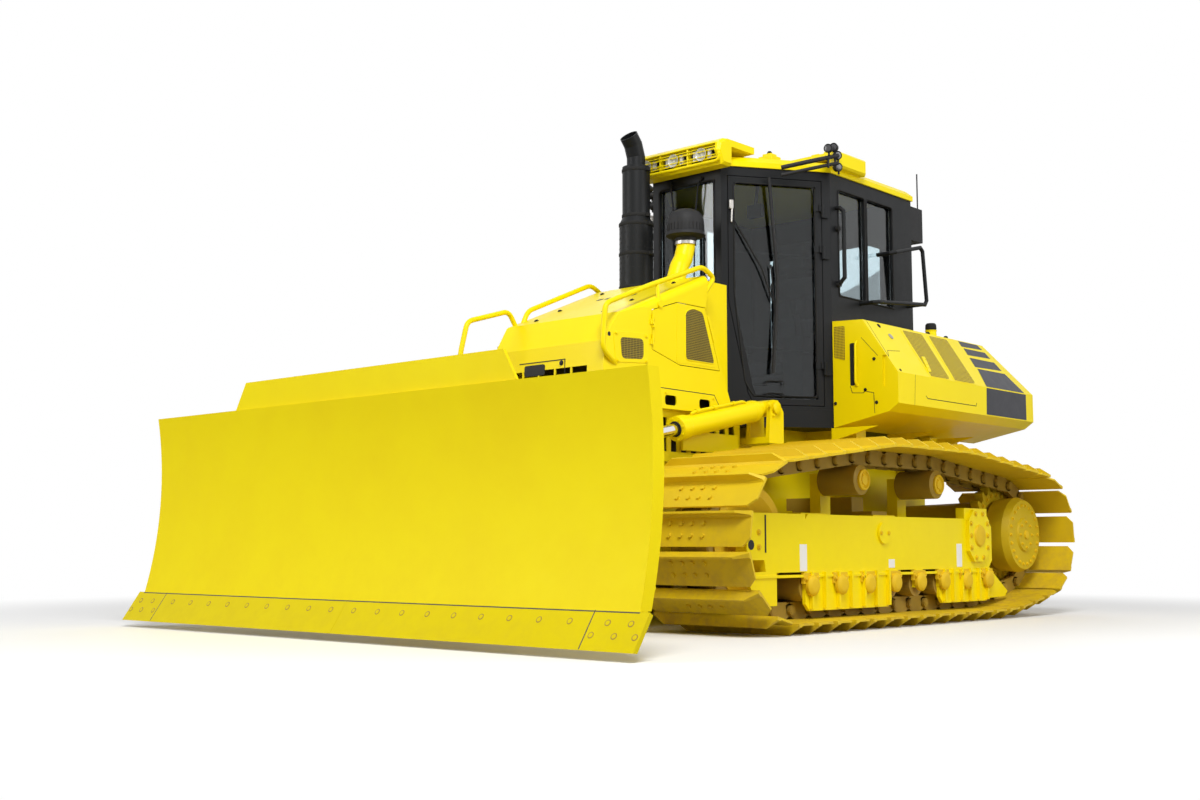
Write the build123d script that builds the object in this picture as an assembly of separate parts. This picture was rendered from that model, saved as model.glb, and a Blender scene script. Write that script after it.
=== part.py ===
"""Crawler bulldozer with a power angle and tilt blade.

The model is worked out in millimetres from three datums: x forward from the sprocket
axle, y to the left from the centreline and z up from the ground. Each function returns
one sub-part, and each sub-part is written as one STEP file. Before export everything is
moved along x, so that the origin lies on the ground at the middle of the overall length.
"""
from build123d import *
import math
import os

# --- crawler tracks -------------------------------------------------------------------
gauge = 2192.0              # between the two track centrelines
shoe_width = 840.0
link_pitch = 190.0          # pin to pin
chain_phase = 60.0          # first pin past the point where the chain meets the sprocket
grouser_height = 53.0       # below the shoe plate
shoe_plate = 12.0
grouser_root = 26.0
grouser_tip = 14.0
shoe_gap = 3.0              # between one shoe plate and the next
pin_to_plate = 50.0
pin_to_rail = 48.0          # from pin centre to the face the rollers run on
rail_width = 42.0
rail_spacing = 170.0        # between the two rows of links, centre to centre
sprocket_teeth = 23         # the pins meet every second tooth
sprocket_z = 555.0
idler_x = 3080.0
idler_pin_radius = 380.0    # pin circle where the chain goes round the idler
carrier_roller_r = 93.0
idler_hub_r = 80.0
carrier_x = (1080.0, 1995.0)
carrier_z = 874.0
roller_count = 8
first_roller_x = 520.0
last_roller_x = 2640.0
roller_z = 244.0
seat = 0.3                  # gap between pieces that rest on each other
pin_fit = 0.5               # gap all round a pin
running = 5.0               # least gap between pieces that move past each other

# --- track frame and final drive --------------------------------------------------------
side_frame_width = 400.0
side_frame_bottom = 330.0
side_frame_top = 656.0
side_frame_rear = 430.0
side_frame_front = 2700.0
guard_bottom = 112.0
guard_wall = 20.0
guard_spans = ((480.0, 1165.0), (1755.0, 2690.0))
guard_rib_pitch = 150.0
guard_rib = 22.0            # how far a guard's ribs stand out
pivot_cover = (650.0, 545.0, 140.0, 172.0)      # centre in x and z, half width and half height
recoil_cover = (1840.0, 555.0, 66.0)            # centre in x and z, radius
cheek_front = 3065.0        # the beam's side plates reach from here to the idler's bracket
rear_guide = ((490.0, 340.0), (213.0, 170.0), (250.0, 135.0), (470.0, 128.0))
front_guide = ((2965.0, 150.0), (3125.0, 150.0), (3248.0, 300.0), (3235.0, 332.0), (2965.0, 340.0))
final_drive_r = 262.0
final_drive_out = 1330.0    # outer face of the final drive, from the centreline
sprocket_width = 58.0
tooth_depth = 42.0
tooth_tip = 358.0
cap_r = 120.0               # raised middle of the final drive's cover
pivot_shaft_x = 700.0
pivot_shaft_z = 500.0
pivot_shaft_r = 80.0
equalizer_x = 1480.0
equalizer_z = 730.0

# --- hull -------------------------------------------------------------------------------
hull_half = 390.0           # half the width of the main frame
hull_bottom = 430.0
hull_wall = 40.0
hull_rear = -300.0
hull_front = 3400.0
hull_top = 1000.0
bay_rear = 1900.0           # engine bay in the hull
deck_z = 1250.0             # underside of the cab floor
engine_top = 1560.0
bay_floor = 600.0
deck_beams = (200.0, 1180.0)
screen_half = 440.0         # outer faces of the screens beside the engine bay
screen_slots = 12
screen_slot = 60.0

# --- cab --------------------------------------------------------------------------------
cab_floor_z = 1370.0
cab_top = 2970.0
cab_front = 2110.0
cab_front_half = 290.0
cab_corner_x = 1470.0       # where the slanting door wall meets the side wall
cab_half = 720.0
cab_rear = 400.0
cab_wall = 50.0
glass = 8.0
door_rear = 60.0            # doorway set in from the wall's rear corner
door_front = 45.0
door_sill = 20.0
door_head = 60.0
door_rim = 45.0
door_foot = 560.0           # the doorway's lower front corner is cut off from here
door_hinges = (1640.0, 2420.0, 2700.0)   # heights of the door's hinges
door_hinge_out = 16.0       # hinge pin outside the wall
door_hinge_r = 11.0
door_pin_r = 4.5
windscreen = (230.0, 1900.0, 2880.0)     # half width, foot and head
rear_window = (560.0, 1950.0, 2860.0)
side_windows = ((670.0, 1010.0), (1040.0, 1370.0))
side_window_z = (2150.0, 2870.0)
pane_in = 22.0              # panes set in from the wall's outer face
roof_rim = 12.0             # roof cap beyond the walls
roof_cap = 70.0
roof_crown = 35.0
rops_x = (1110.0, 1490.0)
rops_half = cab_half
rops_cap = 70.0             # box ends of the roll-over beam
lamp_half = 390.0
lamp_count = 3
rail_out = cab_half + 130   # handrail beside the cab
rail_xs = (430.0, 480.0, 880.0, 1110.0)
rail_heads = (2500.0, 2600.0)
rail_lift = 175.0           # foot of that handrail above the side box
ac_rear = 150.0
ac_in = cab_half - 380
ac_out = cab_half - 30
ac_bottom = 2700.0
aerial_r = 5.0
seat_span = (860.0, 1380.0)
seat_half = 260.0
seat_pan = 1640.0
seat_pad = 130.0
seat_back = 650.0           # height of the backrest over the cushion
console_span = (950.0, 1500.0, 340.0, 500.0, 1880.0)   # x, y and top
lever_reach = 160.0

# --- hood -------------------------------------------------------------------------------
hood_half = 490.0
hood_sheet = 8.0
hood_bottom = 1290.0
hood_rear = 2130.0
hood_top = 2160.0
hood_break_x = 2500.0       # where the top starts to slope down
nose_x = 3320.0
nose_z = 1830.0
brow_x = 3440.0
brow_z = 1650.0
nose_foot_x = 3455.0
nose_half = 445.0
taper_x = 3090.0            # where the sides start to close in towards the nose
cowl_foot_x = 2250.0        # rear edge of the hood's sides, at the foot and near the top
cowl_head_x = 2540.0
cowl_neck = 345.0           # half width of the part that reaches the cab
hood_round = 50.0
foot_slots = (2500.0, 2830.0)   # rear ends of the slots low on each side
foot_slot_size = (110.0, 60.0)
side_door = ((2400.0, 1560.0), (2800.0, 1560.0), (3060.0, 1630.0), (3060.0, 1870.0), (2820.0, 1945.0),
             (2545.0, 1945.0))
side_hinge_out = 8.0        # hinge pin ahead of the hood's side
side_hinge_r = 7.0
hinge_pin_r = 3.0
hinge_half = 30.0
grille_low = (2440.0, 1600.0)
grille_high = (2790.0, 1910.0)
grille_lean = 150.0
louvre_pitch = 26.0
mouth_half = 330.0          # rows of slots across the nose, under the brow
mouth_z = 1470.0
mouth_height = 45.0
mouth_rows = 2
mouth_pitch = 75.0
mouth_slots = 5
rail_r = 16.0
rail_bend = 30.0
rail_y = 470.0
handrail_r = 14.0

exhaust_x = 2370.0
exhaust_y = -220.0
shield_r = 112.5
exhaust_r = 92.5
exhaust_step = 2610.0
exhaust_head = 2995.0
tip_r = 62.0
tip_bend = 45.0
intake_y = 200.0
intake_r = 60.0
intake_top = 2430.0
cleaner_r = 130.0

# --- side boxes --------------------------------------------------------------------------
box_in = cab_half + running
box_out = 1210.0
box_front = 1475.0
box_rear = -460.0
box_bottom = deck_z + seat
box_skirt = 1385.0
box_shoulder = 1585.0
box_crest_y = 955.0
box_crest = 1950.0
box_slope = -170.0          # where the rear of the top starts to slope down
box_louvres = (440.0, 780.0)    # rear edges of the louvred panels, at the foot of the slope
louvre_wide = 250.0
louvre_rows = 12
louvre_step = 26.0
louvre_lean = 4.0           # each row lies this much further back
louvre_deep = 10.0

# --- blade and its linkage -----------------------------------------------------------------
trunnion_x = 1850.0
trunnion_z = 580.0
trunnion_r = 48.0
arm_in = 460.0
arm_out = 600.0
arm_bottom = 450.0
arm_top = 700.0
beam_rear = 3700.0
beam_front = 4000.0
beam_half = 700.0
blade_back_x = 4480.0       # face of the blade's hub, the datum of all that it carries
king_x = blade_back_x - 210
king_r = 38.0
king_ear = 45.0
tilt_z = 585.0
tilt_pin_r = 60.0
lift_y = 570.0
lift_rear = (2050.0, 1345.0)    # x and z of the lift cylinder's rear pin
lift_front = (3920.0, 960.0)
lift_barrel_r = 66.0
lift_pin_r = 30.0
lift_rod_r = 35.0
lift_stroke_out = 1020.0    # rod showing at rest
lift_rod_start = 500.0      # where the rod begins inside the barrel, from the rear pin
angle_rear = (3280.0, 550.0)    # x and y of the angle cylinder's rear pin
angle_front = (blade_back_x - 140, 620.0)
angle_z = 775.0
angle_barrel_r = 40.0
angle_rod_r = 24.0
tilt_cylinder_x = blade_back_x - 80
tilt_cylinder_z = 1000.0
tilt_base_y = -420.0
tilt_end_y = 400.0
blade_half = 1950.0
edge_tip = (blade_back_x + 517, 40.0)
edge_top = (blade_back_x + 407, 203.0)
edge_plate = 25.0
blade_mid = (blade_back_x + 320, 740.0)
blade_top = (blade_back_x + 353, 1245.0)
blade_skin = 20.0
end_depth = 75.0            # width of the plates that close the blade's ends
rib_ys = (500.0, 900.0, 1400.0)
end_bit_in = 1700.0
end_bit_out = 2005.0
spill_top = 1400.0
spill_half = 1150.0
spill_half_top = 1050.0
spill_plate = 16.0
spill_ribs = (-700.0, 0.0, 700.0)

# --- rear end ----------------------------------------------------------------------------
deck_x = 120.0              # where the hull steps up to the deck
cowl_rear = -330.0
cowl_half = 660.0
cowl_wall = 30.0
cowl_top = 1900.0
grille_thick = 20.0
grille_rim = 60.0
grille_slats = 10
grille_hinges = (1200.0, 1700.0)
grille_hinge_out = 8.0
grille_hinge_r = 7.0
fan_r = 370.0
fan_z = 1440.0
fan_shaft_r = 20.0
fan_blades = 7
drawbar_tip = -520.0
overall_rear = drawbar_tip
overall_front = edge_tip[0]
origin_x = (overall_rear + overall_front) / 2


# --- helpers --------------------------------------------------------------------------------
def block(x0, x1, y0, y1, z0, z1):
    """A box between two corners."""
    return Pos((x0 + x1) / 2, (y0 + y1) / 2, (z0 + z1) / 2) * Box(x1 - x0, y1 - y0, z1 - z0)


def side_plate(points, y0, y1):
    """A plate whose outline is given in x and z."""
    face = make_face(Polyline(*[(x, y0, z) for x, z in points], close=True))
    return extrude(face, amount=y1 - y0, dir=(0, 1, 0))


def flat_plate(points, z0, z1):
    """A plate whose outline is given in x and y."""
    face = make_face(Polyline(*[(x, y, z0) for x, y in points], close=True))
    return extrude(face, amount=z1 - z0, dir=(0, 0, 1))


def cross_plate(points, x0, x1):
    """A plate whose outline is given in y and z."""
    face = make_face(Polyline(*[(x0, y, z) for y, z in points], close=True))
    return extrude(face, amount=x1 - x0, dir=(1, 0, 0))


def bar(start, end, radius):
    """A round bar between two points."""
    run = Vector(*end) - Vector(*start)
    plane = Plane(origin=start, z_dir=run)
    return plane * Cylinder(radius, run.length, align=(Align.CENTER, Align.CENTER, Align.MIN))


def pin_y(x, z, y0, y1, radius):
    return bar((x, y0, z), (x, y1, z), radius)


def pin_z(x, y, z0, z1, radius):
    return bar((x, y, z0), (x, y, z1), radius)


def tube_path(points, radius, bend):
    """A round tube through the points, each corner cut short by the bend to turn in two steps."""
    route = [Vector(*points[0])]
    for before, corner, after in zip(points, points[1:], points[2:]):
        turn = Vector(*corner)
        for other in (before, after):
            route.append(turn + (Vector(*other) - turn).normalized() * bend)
    route.append(Vector(*points[-1]))
    path = Polyline(*route)
    section = Plane(origin=route[0], z_dir=path % 0) * Circle(radius)
    return sweep(section, path=path, transition=Transition.RIGHT)


def on_side(shape, side):
    """The piece as built for the left, or mirrored for the right."""
    return shape if side > 0 else mirror(shape, about=Plane.XZ)


def join(shapes):
    first, rest = shapes[0], shapes[1:]
    return first.fuse(*rest) if rest else first


# --- track chain ------------------------------------------------------------------------------
sprocket_pin_radius = link_pitch / 2 / math.sin(2 * math.pi / sprocket_teeth)
plate_height = pin_to_plate + shoe_plate + grouser_height     # pin centre to grouser tip
idler_z = idler_pin_radius + plate_height
carrier_pin_radius = carrier_roller_r + pin_to_rail
roller_pitch = (last_roller_x - first_roller_x) / (roller_count - 1)
roller_xs = [first_roller_x + i * roller_pitch for i in range(roller_count)]
track_y = gauge / 2


def belt():
    """Runs and arcs of the pin line, clockwise round the wheels as (kind, ...) tuples."""
    ground_r = roller_z - plate_height
    wheels = [
        (0.0, sprocket_z, sprocket_pin_radius),
        (carrier_x[0], carrier_z, carrier_pin_radius),
        (carrier_x[1], carrier_z, carrier_pin_radius),
        (idler_x, idler_z, idler_pin_radius),
        (first_roller_x, roller_z, ground_r),
    ]
    normals = []
    for i, (x, z, r) in enumerate(wheels):
        nx, nz, nr = wheels[(i + 1) % len(wheels)]
        heading = math.atan2(nz - z, nx - x)
        normals.append(heading + math.acos((r - nr) / math.hypot(nx - x, nz - z)))
    path = []
    for i, (x, z, r) in enumerate(wheels):
        turn = (normals[i - 1] - normals[i]) % (2 * math.pi)
        path.append(("arc", x, z, r, normals[i - 1], turn, r * turn))
        nx, nz, nr = wheels[(i + 1) % len(wheels)]
        cos, sin = math.cos(normals[i]), math.sin(normals[i])
        start = (x + r * cos, z + r * sin)
        end = (nx + nr * cos, nz + nr * sin)
        path.append(("run", start, end, math.dist(start, end)))
    return path


def pins():
    """Pin centres (x, z) all round the chain."""
    path = belt()
    total = sum(part[-1] for part in path)
    count = round(total / link_pitch)
    places = []
    for i in range(count):
        s = total * i / count + chain_phase
        for part in path:
            if s <= part[-1]:
                break
            s -= part[-1]
        if part[0] == "arc":
            _, x, z, r, start, turn, length = part
            angle = start - turn * s / length
            places.append((x + r * math.cos(angle), z + r * math.sin(angle)))
        else:
            _, (x0, z0), (x1, z1), length = part
            t = s / length
            places.append((x0 + (x1 - x0) * t, z0 + (z1 - z0) * t))
    return places


def links():
    """Start, unit vector along and outward normal of each link."""
    places = pins()
    found = []
    for i, (x, z) in enumerate(places):
        nx, nz = places[(i + 1) % len(places)]
        length = math.dist((x, z), (nx, nz))
        along = ((nx - x) / length, (nz - z) / length)
        found.append(((x, z), along, (-along[1], along[0]), length))
    return found


def on_link(link, u, v):
    (x, z), along, out, _ = link
    return (x + along[0] * u + out[0] * v, z + along[1] * u + out[1] * v)


def chain_radius(x, z):
    """Largest radius about (x, z) that stays inside the rows of links."""
    least = math.inf
    for link in links():
        ax, az = on_link(link, 0, -pin_to_rail)
        bx, bz = on_link(link, link[3], -pin_to_rail)
        share = ((x - ax) * (bx - ax) + (z - az) * (bz - az)) / link[3] ** 2
        share = min(1.0, max(0.0, share))
        least = min(least, math.dist((x, z), (ax + (bx - ax) * share, az + (bz - az) * share)))
    return least - seat


def shoe():
    """One shoe at the origin, u along x and the ground side up."""
    top = pin_to_plate + shoe_plate
    tip = top + grouser_height
    back = link_pitch - shoe_gap
    lean = (grouser_root - grouser_tip) / 2
    outline = [(0, pin_to_plate), (back, pin_to_plate), (back, top), (grouser_root, top),
               (grouser_root - lean, tip), (lean, tip)]
    half = shoe_width / 2
    return side_plate(outline, track_y - half, track_y + half)


def track(side):
    """The closed chain of one side: two rows of links with a shoe on each."""
    chain = links()
    sunk = 2.0
    outer = [on_link(link, 0, pin_to_plate + sunk) for link in chain]
    inner = [on_link(link, 0, -pin_to_rail) for link in chain]
    rails = []
    for offset in (-rail_spacing / 2, rail_spacing / 2):
        y0 = track_y + offset - rail_width / 2
        y1 = y0 + rail_width
        rails.append(side_plate(outer, y0, y1) - side_plate(inner, y0 - 1, y1 + 1))
    plain = shoe()
    shoes = []
    for link in chain:
        (x, z), along, _, _ = link
        turn = -math.degrees(math.atan2(along[1], along[0]))
        shoes.append(Location((x, 0, z), (0, turn, 0)) * plain)
    return on_side(join(rails + shoes), side)


def wheel(x, z, profile, y0):
    """A turned piece about a cross axle; the profile is (distance along the axle, radius)."""
    points = [(x, y0 + along, z + radius) for along, radius in profile]
    face = make_face(Polyline(*points, close=True))
    return revolve(face, axis=Axis((x, 0, z), (0, 1, 0)), revolution_arc=360)


def sprocket(side):
    """Toothed ring with the final drive it turns on."""
    root = sprocket_pin_radius - tooth_depth
    points = []
    step = 2 * math.pi / sprocket_teeth
    _, _, _, _, start, turn, length = belt()[0]
    first_gap = start - turn * chain_phase / length      # a pin lies between two teeth here
    for i in range(sprocket_teeth):
        for share, radius in ((0.20, root), (0.38, tooth_tip), (0.62, tooth_tip), (0.80, root)):
            a = first_gap + (i + share) * step
            points.append((radius * math.cos(a), sprocket_z + radius * math.sin(a)))
    ring = side_plate(points, track_y - sprocket_width / 2, track_y + sprocket_width / 2)
    inner = hull_half + seat
    waist = sprocket_width / 2 + 30
    case = [(inner, 0), (inner, final_drive_r - 45), (track_y - waist, final_drive_r - 25),
            (track_y - waist, final_drive_r - 80), (track_y + waist, final_drive_r - 80),
            (track_y + waist, final_drive_r - 10), (final_drive_out - 45, final_drive_r),
            (final_drive_out, final_drive_r - 22), (final_drive_out, cap_r),
            (final_drive_out + 14, cap_r - 8), (final_drive_out + 14, 0)]
    return on_side(join([wheel(0, sprocket_z, case, 0), ring]), side)


def idler(side):
    """Front wheel with a raised middle flange and a dished web."""
    tread = chain_radius(idler_x, idler_z)
    w = rail_spacing / 2 + rail_width / 2
    flange = rail_spacing / 2 - rail_width / 2 - 6
    profile = [(-w, tread - 50), (-w, tread), (-flange, tread), (-flange, tread + 20), (flange, tread + 20),
               (flange, tread), (w, tread), (w, tread - 50), (30, idler_hub_r + 10), (w + 20, idler_hub_r),
               (w + 20, 0), (-w - 20, 0), (-w - 20, idler_hub_r), (-30, idler_hub_r + 10)]
    return on_side(wheel(idler_x, idler_z, profile, track_y), side)


def rollers(side):
    """Track rollers under the side frame and carrier rollers above it."""
    half = side_frame_width / 2 - guard_wall - seat
    tread = rail_spacing / 2 + rail_width / 2 + 4
    found = []
    for x in roller_xs:
        r = chain_radius(x, roller_z)
        found.append(wheel(x, roller_z, [(-half, 0), (-half, r), (half, r), (half, 0)], track_y))
    for x in carrier_x:
        r = chain_radius(x, carrier_z)
        profile = [(-tread, 0), (-tread, r), (tread + 40, r), (tread + 52, r - 30), (tread + 52, 0)]
        found.append(wheel(x, carrier_z, profile, track_y))
    return [on_side(item, side) for item in found]


def final_drives():
    return Compound(children=[sprocket(1), sprocket(-1)])


def idlers():
    return Compound(children=[idler(1), idler(-1)])


def all_rollers():
    return Compound(children=rollers(1) + rollers(-1))


def track_frame(side):
    """Side frame beam with roller guards, carrier posts, recoil housing and idler fork."""
    half = side_frame_width / 2
    inner, outer = track_y - half, track_y + half
    slope = 50
    beam = side_plate([(side_frame_rear, side_frame_bottom + slope),
                       (side_frame_rear + slope, side_frame_bottom),
                       (side_frame_front, side_frame_bottom), (side_frame_front, side_frame_top - slope),
                       (side_frame_front - slope, side_frame_top),
                       (side_frame_rear + slope, side_frame_top),
                       (side_frame_rear, side_frame_top - slope)], inner, outer)
    parts = [beam]
    for x0, x1 in guard_spans:
        top = side_frame_bottom + 1
        outline = [(x0, top), (x1, top), (x1, guard_bottom + 40), (x1 - 40, guard_bottom),
                   (x0 + 40, guard_bottom), (x0, guard_bottom + 40)]
        for y0 in (inner, outer - guard_wall):
            parts.append(side_plate(outline, y0, y0 + guard_wall))
        ribs = round((x1 - x0) / guard_rib_pitch)
        for i in range(ribs + 1):
            x = x0 + 50 + (x1 - x0 - 100) * i / ribs
            parts.append(block(x - 9, x + 9, outer - 1, outer + guard_rib, guard_bottom + 10, top))
    for x in roller_xs:
        for y0, y1 in ((outer - guard_wall, outer + 8), (inner, inner + guard_wall)):
            parts.append(block(x - 45, x + 45, y0, y1, roller_z - 25, side_frame_bottom + 1))
    fork = [(side_frame_front - 20, side_frame_bottom), (cheek_front, side_frame_bottom),
            (cheek_front + 15, idler_z - 95), (idler_x + 145, idler_z - 95), (idler_x + 160, idler_z - 50),
            (idler_x + 160, idler_z + 95), (idler_x + 120, side_frame_top),
            (side_frame_front - 20, side_frame_top)]
    w = rail_spacing / 2 + rail_width / 2 + 20 + seat
    for y0, y1 in ((inner, track_y - w), (track_y + w, outer)):
        parts.append(side_plate(fork, y0, y1))
    for outline in (rear_guide, front_guide):
        parts.append(side_plate(outline, outer - guard_wall, outer))
    for x in carrier_x:
        near = track_y - rail_spacing / 2 - rail_width / 2 - 4 - seat
        parts.append(block(x - 55, x + 55, near - 75, near, side_frame_top - 10, carrier_z + 45))
    x, z, w, h = pivot_cover
    parts.append(block(x - w - 20, x + w + 20, outer - 60, outer, side_frame_top - 10, z + h + 10))
    cover = block(x - w, x + w, outer - 1, outer + 26, z - h, z + h)
    parts.append(chamfer(cover.edges().filter_by(Axis.Y), w * 0.5))
    x, z, r = recoil_cover
    parts.append(pin_y(x, z, outer - 1, outer + 14, r))
    return on_side(join(parts), side)


def cross_shafts():
    """Pivot shaft and equalizer bar that carry the two side frames."""
    y = track_y - side_frame_width / 2 - seat
    shaft = pin_y(pivot_shaft_x, pivot_shaft_z, hull_half + seat, y, pivot_shaft_r)
    bar_side = block(equalizer_x - 70, equalizer_x + 70, hull_half + seat, y + seat - 1,
                     equalizer_z - 60, equalizer_z + 60)
    foot = block(equalizer_x - 90, equalizer_x + 90, y - 60, y + 160, side_frame_top + seat,
                 side_frame_top + 40)
    one = [shaft, join([bar_side, foot])]
    return Compound(children=one + [on_side(item, -1) for item in one])


# --- hull --------------------------------------------------------------------------------------
def main_frame():
    """Hull with its engine bay, cab deck, engine bay screens, blade trunnions and lift brackets."""
    outline = [(hull_rear, 560), (hull_rear + 120, hull_bottom), (hull_front - 260, hull_bottom),
               (hull_front, 560), (hull_front, hull_top), (bay_rear, hull_top), (bay_rear, deck_z),
               (deck_x, deck_z), (deck_x, hull_top), (hull_rear, hull_top)]
    body = side_plate(outline, -hull_half, hull_half)
    bay_half = hull_half - hull_wall
    body -= block(bay_rear + hull_wall, hull_front - hull_wall, -bay_half, bay_half, bay_floor, deck_z)
    parts = [body]
    for x in deck_beams:
        parts.append(block(x, x + 120, -box_in - 60, box_in + 60, deck_z - 90, deck_z))
    top = hood_bottom - seat
    parts.append(block(hull_front - 20, hull_front, -screen_half, screen_half, hull_top - 1, top))
    for side in (1, -1):
        screen = block(hood_rear, hull_front, screen_half - 10, screen_half, hull_top - 20, top)
        for i in range(screen_slots):
            x = hood_rear + 60 + i * (hull_front - hood_rear - 120) / screen_slots
            for z0 in (hull_top + 40, (hull_top + top) / 2 + 15):
                screen -= block(x, x + screen_slot, screen_half - 11, screen_half + 1, z0,
                                z0 + (top - hull_top) / 2 - 60)
        ledge = block(hood_rear, hull_front, hull_half - 1, screen_half, hull_top - 20, hull_top)
        boss = pin_y(trunnion_x, trunnion_z, hull_half - 10, arm_in - running, 95)
        pin = pin_y(trunnion_x, trunnion_z, hull_half - 10, arm_out + 20, trunnion_r)
        x, z = lift_rear
        ears = []
        for y0 in (lift_y - 90, lift_y + 62):
            ears.append(side_plate([(x - 90, 1150), (x + 70, 1150), (x + 50, z + 20), (x + 20, z + 50),
                                    (x - 30, z + 50), (x - 90, z - 20)], y0, y0 + 28))
        shelf = block(x - 90, x + 70, hull_half - 30, lift_y + 90, 1120, 1160)
        web = side_plate([(x - 90, 940), (x + 60, 940), (x + 70, 1150), (x - 90, 1150)],
                         hull_half - 20, hull_half + 20)
        lift_pin = pin_y(x, z, lift_y - 100, lift_y + 100, lift_pin_r)
        for item in [screen, ledge, boss, pin, shelf, web, lift_pin] + ears:
            parts.append(on_side(item, side))
    return join(parts)


def engine():
    """Engine as one block on its mounts."""
    half = hull_half - hull_wall
    body = block(cab_front + 40, hull_front - 220, -half + 50, half - 50, bay_floor + hull_wall, engine_top)
    feet = []
    for x in (cab_front + 120, hull_front - 420):
        feet.append(block(x, x + 120, -half + seat, half - seat, bay_floor + 160, bay_floor + 260))
    return join([body] + feet)


def hood_form(inset):
    """Closed form of the hood, moved in by the inset everywhere but at its foot and rear."""
    past = 1 if inset else 0
    outline = [(hood_rear - past, hood_bottom - past), (nose_foot_x - inset, hood_bottom - past),
               (brow_x - inset, brow_z), (nose_x - inset * 0.6, nose_z - inset),
               (hood_break_x, hood_top - inset), (hood_rear - past, hood_top - inset)]
    half = hood_half - inset
    body = side_plate(outline, -half, half)
    crown = [e for e in body.edges() if e.center().Z > nose_z - inset and abs(e.center().Y) > half - 1]
    body = fillet(crown, hood_round - inset)
    taper = flat_plate([(taper_x - inset, half), (taper_x - inset, half + 9), (brow_x + 60, half + 9),
                        (brow_x + 60, nose_half - inset)], hood_bottom - 9, hood_top + 9)
    shoulder = side_plate([(hood_rear - 2, hood_bottom - 9), (cowl_foot_x + inset, hood_bottom - 9),
                           (cowl_head_x + inset, hood_top - 240), (cowl_head_x - 30 + inset, hood_top + 9),
                           (hood_rear - 2, hood_top + 9)], cowl_neck - inset, hood_half + 9)
    for side in (1, -1):
        body -= on_side(taper, side)
        body -= on_side(shoulder, side)
    return body


def hood():
    """Sheet hood with a sloping top and nose, a foot flange and openings for the side doors."""
    body = hood_form(0) - hood_form(hood_sheet)
    for side in (1, -1):
        body -= on_side(side_plate(side_door, hood_half - hood_sheet - 1, hood_half + 1), side)
        flange = block(cowl_foot_x + 10, taper_x, screen_half - 40, hood_half - 2, hood_bottom,
                       hood_bottom + hood_sheet)
        body = body.fuse(on_side(flange, side))
        for x in foot_slots:
            slot = block(x, x + foot_slot_size[0], hood_half - hood_sheet - 1, hood_half + 1,
                         hood_bottom + 22, hood_bottom + 22 + foot_slot_size[1])
            body -= on_side(fillet(slot.edges().filter_by(Axis.Y), 20), side)
        x, z0, z1 = side_door[2][0], side_door[2][1], side_door[3][1]
        for z in (z0 + 60, z1 - 60):
            body = body.fuse(on_side(side_hinge(z, False), side))
    pitch = 2 * mouth_half / mouth_slots
    for row in range(mouth_rows):
        z = mouth_z - row * mouth_pitch
        for i in range(mouth_slots):
            y = -mouth_half + i * pitch
            body -= block(nose_foot_x - 60, nose_foot_x + 60, y + 6, y + pitch - 6, z, z + mouth_height)
    return body


def side_hinge(z, moving):
    """Half of a side door's hinge at a height: the lower knuckle with its pin, or the upper one."""
    x, y = side_door[2][0], hood_half + side_hinge_out
    r = side_hinge_r
    if moving:
        knuckle = pin_z(x, y, z + seat, z + hinge_half, r)
        knuckle += block(x - 20, x, hood_half - 4, y, z + seat, z + hinge_half)
        return knuckle - pin_z(x, y, z - 1, z + hinge_half + 1, hinge_pin_r + pin_fit)
    knuckle = pin_z(x, y, z - hinge_half, z, r) + block(x, x + 20, hood_half - 4, y, z - hinge_half, z)
    return knuckle + pin_z(x, y, z - 1, z + hinge_half - 2, hinge_pin_r)


def engine_door(side):
    """Side door with a field of louvres, hinged at its front edge."""
    outline = make_face(Polyline(*[(x, hood_half - hood_sheet, z) for x, z in side_door], close=True))
    panel = extrude(offset(outline, amount=-running, kind=Kind.INTERSECTION), amount=hood_sheet,
                    dir=(0, 1, 0))
    (x0, z0), (x1, z1) = grille_low, grille_high
    count = round((z1 - z0) / louvre_pitch)
    for i in range(count):
        z = z0 + (i + 0.25) * (z1 - z0) / count
        lean = (z - z0) / (z1 - z0)
        panel -= block(x0 + lean * grille_lean, x1 - lean * 40, hood_half - hood_sheet - 1, hood_half + 1,
                       z, z + louvre_pitch * 0.5)
    for z in (side_door[2][1] + 60, side_door[3][1] - 60):
        panel = panel.fuse(side_hinge(z, True))
    return on_side(panel, side)


# --- cab -------------------------------------------------------------------------------------------
def cab_plan(inset):
    """Plan of the cab, moved in by the inset, left half from front to rear then the right."""
    slope = math.atan2(cab_half - cab_front_half, cab_front - cab_corner_x)
    front = cab_front_half - inset * math.tan((math.pi / 2 - slope) / 2)
    corner = cab_corner_x - inset * math.tan(slope / 2)
    left = [(cab_front - inset, front), (corner, cab_half - inset), (cab_rear + inset, cab_half - inset)]
    return left + [(x, -y) for x, y in reversed(left)]


def cab_floor():
    return flat_plate(cab_plan(0), deck_z + seat, cab_floor_z - seat)


def cab_frame():
    """Pillars and sills of the cab with its window openings, door hinges and grab handles."""
    shell = flat_plate(cab_plan(0), cab_floor_z, cab_top)
    shell -= flat_plate(cab_plan(cab_wall), cab_floor_z - 1, cab_top + 1)
    half, z0, z1 = windscreen
    shell -= block(cab_front - cab_wall - 1, cab_front + 1, -half, half, z0, z1)
    half, z0, z1 = rear_window
    shell -= block(cab_rear - 1, cab_rear + cab_wall + 1, -half, half, z0, z1)
    z0, z1 = side_window_z
    for x0, x1 in side_windows:
        shell -= block(x0, x1, -cab_half - 1, cab_half + 1, z0, z1)
    for side in (1, -1):
        shell -= on_side(door_wall(0, -1, cab_wall + 1), side)
        for z in door_hinges:
            shell = shell.fuse(on_side(door_hinge(z, False), side))
    return shell


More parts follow.
